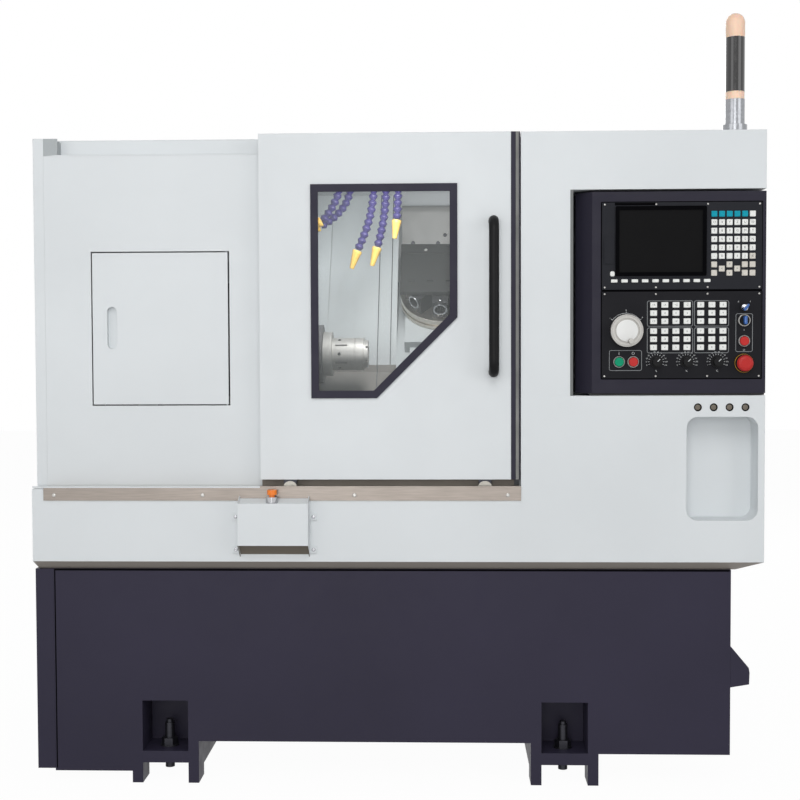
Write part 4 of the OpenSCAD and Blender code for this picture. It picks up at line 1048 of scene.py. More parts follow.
@dataclass
class Fasteners:
    """Screws on the rail, the control plates and the switch box.

    Attributes:
        rail_x: Places of the rail's screws.
        rail_z: Height of the rail's screws.
        rail_y: Front face of the rail.
        plate_x: Columns of the plates' screws.
        unit_z: Rows of the screws on the upper plate.
        unit_y: Front face of the upper plate.
        machine_z: Rows of the screws on the lower plate.
        machine_y: Front face of the lower plate.
        box_x: Columns of the switch box's screws.
        box_z: Rows of the switch box's screws.
        box_y: Front face of the switch box's flanges.
        rail_head: Radius, height and socket radius of the rail's screw heads.
        plate_head: The same of the plates' screw heads.
        box_head: The same of the switch box's screw heads.
    """

    rail_x: tuple[float, ...] = (-863.0, -485.0, -101.5, 283.0)
    rail_z: float = 742.0
    rail_y: float = -643.0
    plate_x: tuple[float, ...] = (522.5, 649.0, 776.0, 903.0)
    unit_z: tuple[float, ...] = (1463.0, 1258.5)
    unit_y: float = -644.0
    machine_z: tuple[float, ...] = (1242.0, 1038.5)
    machine_y: float = -643.0
    box_x: tuple[float, ...] = (-402.0, -205.0)
    box_z: tuple[float, ...] = (604.0, 687.0)
    box_y: float = -643.0
    rail_head: tuple[float, float, float] = (5.2, 2.6, 2.2)
    plate_head: tuple[float, float, float] = (2.4, 1.2, 1.0)
    box_head: tuple[float, float, float] = (5.0, 3.0, 2.2)

    @staticmethod
    def head(radius: float, rise: float, socket: float) -> Array:
        """Button head: a dome of cosine height around a round socket.

        Args:
            radius: Radius of the head.
            rise: Height of the head.
            socket: Radius of the socket.

        Returns:
            Grid of the head, facing the operator.
        """
        t = np.linspace(0.0, 1.0, 7)
        dome = [(socket + (radius - socket) * k, rise * math.cos(0.5 * math.pi * k * k)) for k in t]
        profile = [(0.0, rise * 0.35), (socket * 0.98, rise * 0.35), *dome, (radius, -0.4), (0.0, -0.4)]
        return turned(profile, Axis.FRONT, 24)

    def build(self, dresser: Dresser) -> None:
        """Makes the three groups of screws.

        Args:
            dresser: Takes the pieces.
        """
        rail = np.array([(x, self.rail_y, self.rail_z) for x in self.rail_x])
        heads = Surface.copies(self.head(*self.rail_head), rail)
        dresser.put("rail_screws", heads, RING, "machine")
        upper = [(x, self.unit_y, z) for x in self.plate_x for z in self.unit_z]
        lower = [(x, self.machine_y, z) for x in self.plate_x for z in self.machine_z]
        heads = Surface.copies(self.head(*self.plate_head), np.array(upper + lower))
        dresser.put("plate_screws", heads, RING, "operator_panel")
        ears = np.array([(x, self.box_y, z) for x in self.box_x for z in self.box_z])
        heads = Surface.copies(self.head(*self.box_head), ears)
        dresser.put("box_screws", heads, CHROME, "machine")


@dataclass
class Keypad:
    """Keys of both control plates, with their printed signs and framed groups.

    Attributes:
        soft_x0: First soft key.
        soft_pitch: Step of the soft keys.
        soft_z: Row of the soft keys.
        soft_count: Number of soft keys.
        mdi_x0: First column of the upper plate's keys.
        mdi_pitch: Step of these columns.
        mdi_z0: First row of the upper plate's keys.
        mdi_row: Step of these rows.
        unit_y: Front face of the upper plate.
        machine_y: Front face of the lower plate.
        fun_x: Columns of the lower plate's keys.
        fun_z: Rows of the lower plate's keys.
        print_rise: Height of the dished key tops, less a hair, and of the print on them.
        square_key: Width and height of the upper plate's keys.
        soft_key: Width and height of the soft keys.
        fun_key: Width and height of the lower plate's keys.
        sign_size: Height of the signs on the upper and on the lower plate's keys.
        frames: Left, right, lower and upper edge of each printed group.
        frame_line: Corner radius, width and height of the lines round the groups.
    """

    soft_x0: float = 546.0
    soft_pitch: float = 25.4
    soft_z: float = 1274.5
    soft_count: int = 10
    mdi_x0: float = 791.4
    mdi_pitch: float = 18.8
    mdi_z0: float = 1438.5
    mdi_row: float = 20.75
    unit_y: float = -644.0
    machine_y: float = -643.0
    fun_x: tuple[float, ...] = (643.5, 671.0, 698.5, 726.0, 759.3, 786.8, 814.2)
    fun_z: tuple[float, ...] = (1214.9, 1194.7, 1174.5, 1150.0, 1130.0, 1109.7)
    print_rise: Pair = (2.66, 0.12)
    square_key: Pair = (14.5, 14.5)
    soft_key: Pair = (16.0, 8.0)
    fun_key: Pair = (17.0, 14.0)
    sign_size: Pair = (6.0, 4.6)
    frames: tuple[tuple[float, ...], ...] = (
        (627.5, 740.5, 1161.5, 1225.5), (743.5, 829.0, 1161.5, 1225.5),
        (627.5, 740.5, 1095.5, 1158.5), (743.5, 829.0, 1095.5, 1158.5),
        (534.0, 615.0, 1052.0, 1103.0), (845.5, 887.5, 1098.0, 1193.0),
    )
    frame_line: tuple[float, float, float] = (5.0, 1.2, 0.25)

    @staticmethod
    def cap(width: float, height: float) -> Array:
        """One key cap: straight skirt, rounded shoulder and a slightly dished top."""
        steps = [(0.0, 0.0), (0.1, 1.8), (0.35, 2.5), (0.9, 2.9), (1.6, 3.0), (4.0, 2.7)]
        return pillow(width, height, 1.6, steps)

    def mdi(self, column: float, row: float) -> Point:
        """Place of a key on the upper plate."""
        return (self.mdi_x0 + column * self.mdi_pitch, self.unit_y, self.mdi_z0 - row * self.mdi_row)

    def build(self, dresser: Dresser) -> None:
        """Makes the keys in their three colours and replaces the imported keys.

        Args:
            dresser: Takes the pieces.
        """
        square = self.cap(*self.square_key)
        teal = np.array([self.mdi(c, 0) for c in range(5)])
        grey_cells = [
            (5, 5), (0, 6), (4, 6), (5, 6), (0, 7), (4, 7), (5, 7), (2, 6), (2, 7), (1, 6.5), (3, 6.5),
        ]
        grey = np.array([self.mdi(c, r) for c, r in grey_cells])
        white = [self.mdi(5, 0)]
        white += [self.mdi(c, r) for r in range(1, 6) for c in range(6) if (c, r) != (5, 5)]
        soft_x = self.soft_x0 + np.arange(self.soft_count) * self.soft_pitch
        soft = np.array([(x, self.unit_y, self.soft_z) for x in soft_x])
        fun = np.array([(x, self.machine_y, z) for x in self.fun_x for z in self.fun_z])
        surface = Surface.join([
            Surface.copies(square, np.array(white)),
            Surface.copies(self.cap(*self.soft_key), soft),
            Surface.copies(self.cap(*self.fun_key), fun),
        ])
        keys = dresser.put("white_keycaps", surface, WHITE_KEY, "operator_panel")
        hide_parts("panel_keys")
        dresser.put("teal_keycaps", Surface.copies(square, teal), TEAL_KEY, "operator_panel")
        dresser.put("grey_keycaps", Surface.copies(square, grey), GREY_KEY, "operator_panel")
        self.print_signs(dresser)
        self.frame_groups(dresser)

    def print_signs(self, dresser: Dresser) -> None:
        """Plain letters, figures and arrows on the keys.

        Args:
            dresser: Takes the pieces.
        """
        rows = ("OXYZUW", "789GMT", "456FSN", "123PRL", "-0.IJK")
        cells = [(sign, c, r + 1) for r, row in enumerate(rows) for c, sign in enumerate(row)]
        cells += [("<", 1, 6.5), (">", 3, 6.5), ("^", 2, 6), ("v", 2, 7)]
        marks = []
        for sign, column, line in cells:
            x, _, z = self.mdi(column, line)
            marks.append(Mark(sign, x, z, self.sign_size[0]))
        signs = ["+X", "-X", "+Z", "-Z", "0", "1", "2", "3", "4", "5", "6", "7", "8", "9"]
        places = [(x, z) for z in self.fun_z for x in self.fun_x]
        low = [Mark(signs[i % len(signs)], x, z, self.sign_size[1]) for i, (x, z) in enumerate(places)]
        top, rise = self.print_rise
        upper = printed(marks, self.unit_y - top, rise)
        lower = printed(low, self.machine_y - top, rise)
        dresser.put("key_signs", Surface.join([upper, lower]), DARK_PRINT, "operator_panel", 10.0)

    def frame_groups(self, dresser: Dresser) -> None:
        """Printed lines round the groups of keys and buttons.

        Args:
            dresser: Takes the pieces.
        """
        parts = []
        for x0, x1, z0, z1 in self.frames:
            strip = outline_strip(x1 - x0, z1 - z0, *self.frame_line)
            part = Surface.from_grid(strip, wrap_rows=True)
            parts.append(moved(part, ((x0 + x1) / 2, self.machine_y, (z0 + z1) / 2)))
        dresser.put("group_frames", Surface.join(parts), FRAME_PRINT, "operator_panel", 30.0)


@dataclass
class Controls:
    """Rings, pointers, scales and caps of the controls on the lower plate.

    Attributes:
        plate_y: Front face of the lower plate.
        ring_rise: Height of the buttons' rings, about.
        knobs: Body and place of each override knob.
        wheel: Middle of the handwheel.
        wheel_rise: Height of the handwheel's face over the plate.
        estop: Middle of the emergency stop.
        rings: Middles of the start, stop and red buttons.
        selector: Middle of the blue selector.
        key: Middle of the key switch.
        key_turn: Degrees by which the key leans at rest.
        bow_size: Width, height and corner radius of the key's bow.
        bow_seat: Distance of the bow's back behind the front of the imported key.
        grip_size: Width, height and corner radius of the selector's grip.
        grip_seat: Height of the grip's back over the plate.
        pointer_turn: Degrees by which the knobs' pointers lean to the right.
        pointer_size: Inner and outer end, width and height of a pointer.
        pointer_seat: Distance of a pointer's back behind the knob's front.
        scale_turn: Degrees from straight up to the last tick of a knob.
        scale_count: Ticks round each knob.
        scale_r: Inner and outer end of those ticks.
        figure_r: Radius of the figures round a knob.
        wheel_turn: Degrees from straight up to the last tick of the wheel.
        print_rise: Height of the print over the plate.
    """

    plate_y: float = -643.0
    ring_rise: float = 4.0
    knobs: dict[str, Pair] = field(
        default_factory=lambda: {
            "feed_knob": (650.5, 1074.0), "rapid_knob": (725.5, 1074.0), "spindle_knob": (800.5, 1074.0),
        }
    )
    wheel: Pair = (576.0, 1151.5)
    wheel_rise: float = 18.0
    estop: Pair = (866.5, 1070.0)
    rings: tuple[Pair, ...] = ((558.5, 1074.0), (593.5, 1074.0), (866.5, 1125.0))
    selector: Pair = (866.5, 1176.0)
    key: Pair = (866.5, 1207.5)
    key_turn: float = 35.0
    bow_size: tuple[float, float, float] = (6.4, 19.0, 3.1)
    bow_seat: float = 9.8
    grip_size: tuple[float, float, float] = (7.6, 21.0, 3.4)
    grip_seat: float = 8.0
    pointer_turn: float = 45.0
    pointer_size: tuple[float, float, float, float] = (1.0, 9.6, 1.9, 1.2)
    pointer_seat: float = 1.1
    scale_turn: float = 110.0
    scale_count: int = 12
    scale_r: Pair = (16.6, 20.0)
    figure_r: float = 24.5
    wheel_turn: float = 52.0
    print_rise: float = 0.2

    @staticmethod
    def bezel(inner: float, outer: float, rise: float) -> Array:
        """Ring with a rounded crown: the height follows a sine from the outer to the inner edge.

        Args:
            inner: Inner radius.
            outer: Outer radius.
            rise: Height of the crown.

        Returns:
            Grid of the ring, to be wrapped both ways.
        """
        t = np.linspace(0.0, 1.0, 9)
        crown = [(outer + (inner - outer) * k, rise * (0.55 + 0.45 * math.sin(math.pi * k))) for k in t]
        return turned([(inner, 0.0), (outer, 0.0), *crown], Axis.FRONT, 40)

    def build(self, dresser: Dresser) -> None:
        """Makes the rings, the collar, the pointers, the scales, the wheel's face and the key's bow.

        Args:
            dresser: Takes the pieces.
        """
        low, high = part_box("start_button")
        r = (high.x - low.x) / MM / 2.0
        places = np.array([(x, self.plate_y, z) for x, z in self.rings])
        ring = self.bezel(r + 0.7, r + 3.2, self.ring_rise + 1.0)
        dresser.put("button_rings", Surface.copies(ring, places, True), RING, "operator_panel")
        wide = self.bezel(r + 0.6, r + 4.2, self.ring_rise + 0.6)
        one = np.array([(self.selector[0], self.plate_y, self.selector[1])])
        dresser.put("selector_ring", Surface.copies(wide, one, True), RING, "operator_panel")
        grip = pillow(*self.grip_size, [(0.0, 0.0), (0.0, 11.6), (0.5, 12.6), (1.6, 13.1)])
        spot = np.array([(self.selector[0], self.plate_y - self.grip_seat, self.selector[1])])
        dresser.put("selector_grip", Surface.copies(grip, spot), BLUE, "mode_selector")
        self.collar(dresser)
        self.pointers(dresser)
        self.scales(dresser)
        self.wheel_face(dresser)
        self.key_bow(dresser)

    def collar(self, dresser: Dresser) -> None:
        """Yellow disc behind the emergency stop head, with a soft outer edge.

        Args:
            dresser: Takes the pieces.
        """
        profile = [(8.0, 0.0), (22.6, 0.0), (23.2, 1.2), (23.0, 2.7), (22.2, 3.6), (20.5, 3.9), (8.0, 3.9)]
        grid = turned(profile, Axis.FRONT, 48)
        place = np.array([(self.estop[0], self.plate_y, self.estop[1])])
        dresser.put("estop_collar", Surface.copies(grid, place, True), YELLOW, "operator_panel")

    def pointers(self, dresser: Dresser) -> None:
        """White pointer on each override knob, towards the upper right.

        Args:
            dresser: Takes the pieces.
        """
        for body, (x, z) in self.knobs.items():
            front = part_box(body)[0].y / MM
            pointer = radial_ticks(np.array([self.pointer_turn]), *self.pointer_size)
            pointer = moved(pointer, (x, front + self.pointer_seat, z))
            dresser.put(f"{body}_pointer", pointer, PRINT, body, 20.0)

    def scales(self, dresser: Dresser) -> None:
        """Printed ticks and figures round the knobs, the wheel, the key switch and over the buttons.

        Args:
            dresser: Takes the pieces.
        """
        rise = self.print_rise
        ticks = []
        marks = []
        angles = np.linspace(-self.scale_turn, self.scale_turn, self.scale_count)
        for x, z in self.knobs.values():
            ticks.append(moved(radial_ticks(angles, *self.scale_r, 1.0, rise), (x, self.plate_y, z)))
            for i, angle in enumerate(np.radians(angles)):
                right, up = self.figure_r * math.sin(angle), self.figure_r * math.cos(angle)
                marks.append(Mark(str(i * 10), x + right, z + up, 3.2))
            marks.append(Mark("%", x, z - 23.0, 5.0))
        x, z = self.wheel
        middle = (x, self.plate_y, z)
        fine = np.linspace(-self.wheel_turn, self.wheel_turn, 27)
        ticks.append(moved(radial_ticks(fine, 42.6, 43.8, 2.3, rise), middle))
        coarse = np.array([-self.wheel_turn, 0.0, self.wheel_turn])
        ticks.append(moved(radial_ticks(coarse, 43.0, 47.0, 1.2, rise), middle))
        marks.append(Mark("0", x, z + 50.5, 4.0))
        marks += [Mark("-", x - 40.0, z + 32.0, 5.0), Mark("+", x + 40.0, z + 32.0, 5.0)]
        start, stop, reset = self.rings
        marks += [Mark("I", start[0], start[1] + 21.0, 7.0), Mark("O", stop[0], stop[1] + 21.0, 7.0)]
        marks += [Mark("I", reset[0], reset[1] + 27.0, 4.5), Mark("O", reset[0], reset[1] - 22.5, 4.5)]
        x, z = self.key
        marks += [Mark("0", x - 14.5, z + 14.5, 4.0), Mark("1", x + 14.5, z + 14.5, 4.0)]
        parts = [as_triangles(part) for part in ticks] + [printed(marks, self.plate_y, rise)]
        dresser.put("scale_print", Surface.join(parts), PRINT, "operator_panel", 10.0)

    def wheel_face(self, dresser: Dresser) -> None:
        """White disc in the handwheel and fine graduation on its rim.

        Args:
            dresser: Takes the pieces.
        """
        x, z = self.wheel
        front = self.plate_y - self.wheel_rise
        disc = turned([(0.0, 0.4), (25.6, 0.4), (26.6, 0.1), (27.0, -0.6), (0.0, -0.6)], Axis.FRONT, 64)
        spot = Surface.copies(disc, np.array([(x, front, z)]))
        dresser.put("wheel_disc", spot, WHITE_DISC, "handwheel")
        ticks = radial_ticks(np.arange(0.0, 360.0, 3.6), 35.4, 38.6, 0.5, 0.15)
        dresser.put("wheel_marks", moved(ticks, (x, front, z)), DARK_PRINT, "handwheel", 10.0)

    def key_bow(self, dresser: Dresser) -> None:
        """Blue bow moulded round the key's blade: a rounded slab, turned about Y.

        Args:
            dresser: Takes the pieces.
        """
        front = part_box("key_switch")[0].y / MM
        x, z = self.key
        grid = pillow(*self.bow_size, [(0.0, 0.0), (0.0, 0.6), (0.0, 9.0), (0.5, 10.2), (1.4, 10.6)])
        cos, sin = math.cos(math.radians(self.key_turn)), math.sin(math.radians(self.key_turn))
        across, up = grid[..., 0], grid[..., 2]
        bow = np.stack([across * cos + up * sin, grid[..., 1], up * cos - across * sin], axis=-1)
        bow = moved(Surface.from_grid(bow), (x, front + self.bow_seat, z))
        dresser.put("key_bow", bow, BLUE, "key_switch")


@dataclass
class UpperPlate:
    """Small things on the upper plate: port cap, plain strip and the border of the screen.

    Attributes:
        plate_y: Front face of the plate.
        border_y: Front face of the screen.
        cap: Middle of the port cap.
        cap_size: Width, height and corner radius of the cap.
        strip: Middle of the strip over the screen.
        strip_size: Width, height and corner radius of the strip.
        screen: Middle of the screen.
        border_size: Outer width and height, corner radius, width and height of the screen's border.
    """

    plate_y: float = -644.0
    border_y: float = -648.4
    cap: Pair = (541.5, 1292.0)
    cap_size: tuple[float, float, float] = (11.5, 13.0, 4.0)
    strip: Pair = (597.0, 1464.0)
    strip_size: tuple[float, float, float] = (100.0, 6.5, 1.2)
    screen: Pair = (660.5, 1372.3)
    border_size: tuple[float, float, float, float, float] = (224.0, 172.5, 4.0, 9.5, 0.4)

    def build(self, dresser: Dresser) -> None:
        """Makes the port cap, the strip and the border of the screen.

        Args:
            dresser: Takes the pieces.
        """
        grid = pillow(*self.cap_size, [(0.0, 0.0), (0.2, 2.0), (0.8, 2.8), (2.0, 3.1)])
        cap = moved(Surface.from_grid(grid), (self.cap[0], self.plate_y, self.cap[1]))
        dresser.put("port_cap", cap, WHITE_KEY, "operator_panel")
        grid = pillow(*self.strip_size, [(0.0, 0.0), (0.1, 0.5), (0.4, 0.7)])
        strip = moved(Surface.from_grid(grid), (self.strip[0], self.plate_y, self.strip[1]))
        dresser.put("plain_strip", strip, BORDER, "operator_panel")
        grid = outline_strip(*self.border_size)
        border = Surface.from_grid(grid, wrap_rows=True)
        border = moved(border, (self.screen[0], self.border_y, self.screen[1]))
        dresser.put("screen_border", border, BORDER, "operator_panel", 30.0)


@dataclass
class WorkSpace:
    """Rings and screws on the turret, its guard plate and the housing over it.

    The slanted frame has its origin on the spindle axis: u runs up the slope
    and n stands square on it.

    Attributes:
        origin: Spindle axis as y and z.
        carriage_x: Middle of the carriage.
        turret_u: Turret axis along the slope.
        stations: Tool stations on the turret.
        socket: Radius and n of the sockets' mouths.
        clamp: Radius and n of the clamping screws under each socket.
        top: Radius and n of the screws on top of the holders.
        guard: Place x and u, and the face n, of the guard plate's screw.
        housing_y: Front face of the housing.
        housing_bolts: Places x and z of the housing's bolts.
        bolt_head: Radius, height and socket radius of their heads.
    """

    origin: Pair = (-200.0, 1095.0)
    carriage_x: float = 114.0
    turret_u: float = 287.0
    stations: int = 8
    socket: Pair = (110.0, 4.0)
    clamp: Pair = (104.0, -24.0)
    top: Pair = (92.0, 27.0)
    guard: Point = (71.3, 398.5, 43.0)
    housing_y: float = 215.0
    housing_bolts: tuple[Pair, ...] = ((28.4, 1441.9), (107.1, 1441.4), (129.1, 1466.3))
    bolt_head: tuple[float, float, float] = (6.0, 3.0, 2.4)

    def slanted(self, points: Array) -> Array:
        """Slanted points in the machine's frame: y = y0 + (u - n) / sqrt 2, z = z0 + (u + n) / sqrt 2.

        Args:
            points: Rows of x, u and n.

        Returns:
            Rows of x, y and z.
        """
        x, u, n = np.moveaxis(points, -1, 0)
        share = math.sqrt(0.5)
        return np.stack([x, self.origin[0] + (u - n) * share, self.origin[1] + (u + n) * share], axis=-1)

    def at_stations(self, grid: Array, place: Pair, wrap_rows: bool) -> Surface:
        """One grid repeated at every station, turned about the turret axis by equal angles.

        Args:
            grid: Samples whose X runs outwards from the turret axis.
            place: Radius and n of the grid's origin.
            wrap_rows: Whether the last row joins the first.

        Returns:
            The joined surface in the machine's frame.
        """
        parts = []
        for angle in np.arange(self.stations) * 2.0 * math.pi / self.stations:
            radius, side, n = np.moveaxis(grid + np.array([place[0], 0.0, place[1]]), -1, 0)
            x = self.carriage_x + radius * math.sin(angle) + side * math.cos(angle)
            u = self.turret_u - radius * math.cos(angle) + side * math.sin(angle)
            parts.append(Surface.from_grid(self.slanted(np.stack([x, u, n], axis=-1)), wrap_rows))
        return Surface.join(parts)

    def build(self, dresser: Dresser) -> None:
        """Makes the rings, the clamping screws and the bolts.

        Args:
            dresser: Takes the pieces.
        """
        profile = [
            (16.2, 0.0), (16.4, 1.0), (18.6, 1.6), (20.4, 1.0), (20.8, 0.0), (20.8, -1.0), (16.2, -1.0),
        ]
        mouth = turned(profile, Axis.X)
        dresser.put("socket_rings", self.at_stations(mouth, self.socket, True), CHROME, "turret")
        rim = turned([(5.2, -0.5), (5.4, 0.5), (6.2, 0.9), (6.9, 0.4), (7.0, -0.5)], Axis.X, 24)
        dresser.put("clamp_rings", self.at_stations(rim, self.clamp, True), CHROME, "turret")
        dome = turned([(0.0, 2.2), (2.6, 2.0), (4.6, 1.2), (5.4, 0.0), (5.4, -0.6), (0.0, -0.6)], Axis.Z, 24)
        dresser.put("holder_screws", self.at_stations(dome, self.top, False), CHROME, "turret")
        x, u, n = self.guard
        square = turned([(0.0, 1.8), (4.6, 1.8), (5.6, 1.0), (5.6, -0.5), (0.0, -0.5)], Axis.Z, 4)
        spot = Surface.from_grid(self.slanted(square + np.array([x, u, n])))
        dresser.put("guard_screw", spot, RING, "cross_slide", 20.0)
        places = np.array([(x, self.housing_y, z) for x, z in self.housing_bolts])
        bolts = Surface.copies(Fasteners.head(*self.bolt_head), places)
        dresser.put("housing_bolts", bolts, BLACKENED, "saddle")


@dataclass(frozen=True)
class HoseRun:
    """Course of one hose, with heights over the spindle axis.

    Attributes:
        top: Its x at the manifold.
        back: How far it stands behind the plane of the hoses.
        end: Its end as x and height.
        tip: The nozzle's tip as x and height.
        bend: How far its bend lies to the right of the top.
    """

    top: float
    back: float
    end: Pair
    tip: Pair
    bend: float

    @property
    def reach(self) -> float:
        """Way from the end to the tip."""
        return math.dist(self.end, self.tip)

    @property
    def aim(self) -> Array:
        """Unit vector from the end to the tip."""
        return (np.array(self.tip) - np.array(self.end)) / self.reach


@dataclass
class Hoses:
    """Link hoses and nozzles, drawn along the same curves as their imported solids.

    Each hose hangs from the manifold along a quadratic curve: its top, a bend
    half-way down and its end, which points along the nozzle.

    Attributes:
        runs: The hoses from left to right.
        y: Plane of the hoses.
        axis_z: Height of the spindle axis.
        manifold: Two opposite corners of the manifold.
        pitch: Length of one link.
        waist: Radius between two links.
        bulge: Growth of the radius at the rim of a link.
        rim: Place of the rim as a share of the link.
        crown: Power of the swell, below 1 for a rounder rim.
        link_samples: Samples along one link.
        shift: Way of a nozzle's collar down along the nozzle.
        gap: Distance from a hose's end to its nozzle's collar.
        sag: Drop of the bend for each millimetre that a hose leans beyond the lean.
        lean: Sideways way of a hose that needs no lower bend.
    """

    runs: tuple[HoseRun, ...] = (
        HoseRun(-166.0, 0.0, (-211.0, 379.0), (-236.0, 367.0), 4.0),
        HoseRun(-142.0, 33.0, (-218.0, 366.0), (-246.0, 358.0), 14.0),
        HoseRun(-74.0, 0.0, (-116.0, 301.0), (-136.0, 241.0), 10.0),
        HoseRun(-40.0, 12.0, (-61.0, 311.0), (-79.0, 249.0), 8.0),
        HoseRun(-4.0, 0.0, (-6.0, 387.0), (-14.0, 325.0), 2.0),
    )
    y: float = -210.0
    axis_z: float = 1095.0
    manifold: tuple[Point, Point] = ((-190.0, -228.0, 1602.0), (24.0, -158.0, 1642.0))
    pitch: float = 18.2
    waist: float = 6.9
    bulge: float = 6.0
    rim: float = 0.4
    crown: float = 0.8
    link_samples: int = 14
    shift: float = 10.0
    gap: float = 2.0
    sag: float = 0.6
    lean: float = 40.0

    def curve(self, run: HoseRun, count: int = 400) -> Array:
        """Evenly spaced points of one hose: (1 - t)^2 a + 2 t (1 - t) b + t^2 c, from top to end.

        Args:
            run: The hose.
            count: Number of points.

        Returns:
            Rows of x and z.
        """
        top_z = self.manifold[0][2]
        end = np.array(run.end) + np.array([0.0, self.axis_z])
        drop = self.sag * max(0.0, run.top - run.end[0] - self.lean)
        a = np.array([run.top, top_z])
        b = np.array([run.top + run.bend, (top_z + end[1]) / 2.0 - drop])
        c = end + run.aim * (self.shift - self.gap)
        t = np.linspace(0.0, 1.0, count)[:, None]
        path = (1.0 - t) ** 2 * a + 2.0 * t * (1.0 - t) * b + t * t * c
        steps = np.concatenate([[0.0], np.cumsum(np.linalg.norm(np.diff(path, axis=0), axis=1))])
        even = np.linspace(0.0, steps[-1], count)
        return np.stack([np.interp(even, steps, path[:, k]) for k in (0, 1)], axis=-1)

    def hose(self, run: HoseRun) -> Surface:
        """One hose: each link swells from the waist to its rim and tapers off to the next waist.

        Args:
            run: The hose.

        Returns:
            The hose as a closed tube.
        """
        path = self.curve(run)
        length = float(np.linalg.norm(np.diff(path, axis=0), axis=1).sum())
        links = max(1, round(length / self.pitch))
        share = np.linspace(0.0, 1.0, links * self.link_samples + 1)
        known = np.linspace(0.0, 1.0, len(path))
        x, z = (np.interp(share, known, path[:, k]) for k in (0, 1))
        phase = np.mod(share * links, 1.0)
        swell = np.minimum(phase / self.rim, (1.0 - phase) / (1.0 - self.rim)) ** self.crown
        radius = self.waist + self.bulge * swell
        radius[0] = radius[-1] = 0.0
        middle = np.stack([x, np.full_like(x, self.y + run.back), z], axis=-1)
        return tube(middle, (0.0, 1.0, 0.0), radius)

    def nozzle(self, run: HoseRun) -> Surface:
        """One nozzle: a turned collar and cone with a drilled tip, swung to the hose's end.

        Args:
            run: The hose.

        Returns:
            The nozzle.
        """
        reach = run.reach - self.shift
        profile = [
            (0.0, 0.0), (12.0, 0.0), (13.6, 1.4), (13.8, 7.0), (12.8, 9.0), (6.2, reach - 0.6), (5.6, reach),
            (3.4, reach), (3.2, reach - 9.0), (0.0, reach - 9.0),
        ]
        grid = turned(profile, Axis.X, 32)
        aim_x, aim_z = run.aim
        start_x, start_z = np.array(run.end) + self.shift * run.aim
        x = start_x + grid[..., 0] * aim_x - grid[..., 2] * aim_z
        z = start_z + self.axis_z + grid[..., 0] * aim_z + grid[..., 2] * aim_x
        return Surface.from_grid(np.stack([x, grid[..., 1] + self.y + run.back, z], axis=-1))

    def build(self, dresser: Dresser) -> None:
        """Makes the hoses with their manifold, and the nozzles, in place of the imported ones.

        Args:
            dresser: Takes the pieces.
        """
        parts = [self.hose(run) for run in self.runs] + [block(*self.manifold)]
        hoses = dresser.put("link_hoses", Surface.join(parts), HOSE, "machine", 60.0)
        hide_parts("coolant_hoses")
        tips = Surface.join([self.nozzle(run) for run in self.runs])
        nozzles = dresser.put("hose_nozzles", tips, NOZZLE, "machine")
        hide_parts("coolant_nozzles")


@dataclass
class CoverLipsAndShadows:
    """Lips along the free edges of the way cover's leaves: a pale lip at the spindle's wall, and dark lines
    of painted shadow on the leaves' edges.

    Attributes:
        line: Outline of the outermost leaf as y and z, from the top.
        wall_points: Points of the outline that belong to its steep wall.
        wall_x: Left and right edge of the lip at the spindle's wall.
        fixed_x: Edges of the dark line of painted shadow on the fixed leaf.
        middle_x: Edges of the dark line of painted shadow on the middle leaf.
        wall_y: Front and back of the first lip, set back from the outline.
        fixed_y: Front and back of the second, dark line.
        middle_y: Front and back of the third, dark line.
    """

    line: tuple[Pair, ...] = ((283.0, 1600.0), (-56.0, 1062.2), (-56.0, 1041.0), (-235.4, 861.7))
    wall_points: int = 2
    wall_x: Pair = (-226.0, -224.0)
    fixed_x: Pair = (-74.0, -71.4)
    middle_x: Pair = (-35.6, -33.0)
    wall_y: Pair = (-3.3, -1.2)
    fixed_y: Pair = (-0.8, 1.2)
    middle_y: Pair = (2.75, 3.6)

    @staticmethod
    def lip(line: tuple[Pair, ...], edges: Pair, depths: Pair) -> Surface:
        """A lip: four copies of a line, two at each edge and two at each depth, closed at both ends.

        Args:
            line: Points as y and z.
            edges: Left and right edge.
            depths: Front and back, added to y.

        Returns:
            The lip.
        """
        y, z = np.array(line).T
        (left, right), (front, back) = edges, depths
        corners = [(left, front), (left, back), (right, back), (right, front)]
        grid = np.stack([np.stack([np.full_like(y, x), y + d, z], axis=-1) for x, d in corners], axis=1)
        middle = grid.mean(axis=1, keepdims=True).repeat(4, axis=1)
        return Surface.from_grid(np.concatenate([middle[:1], grid, middle[-1:]]))

    def build(self, dresser: Dresser) -> None:
        """Makes the pale lip and the two dark lines of painted shadow.

        Args:
            dresser: Takes the pieces.
        """
        wall = self.lip(self.line, self.wall_x, self.wall_y)
        dresser.put("wall_lip", wall, SEAM, "machine", 20.0)
        # The two dark lines stand for the shadow gaps at the leaves' edges: painted shadow.
        fixed = self.lip(self.line, self.fixed_x, self.fixed_y)
        dresser.put("fixed_edge_shadow", fixed, LEAF_EDGE_SHADOW, "machine", 20.0)
        middle = self.lip(self.line[: self.wall_points], self.middle_x, self.middle_y)
        dresser.put("middle_edge_shadow", middle, LEAF_EDGE_SHADOW, "way_cover_middle", 20.0)


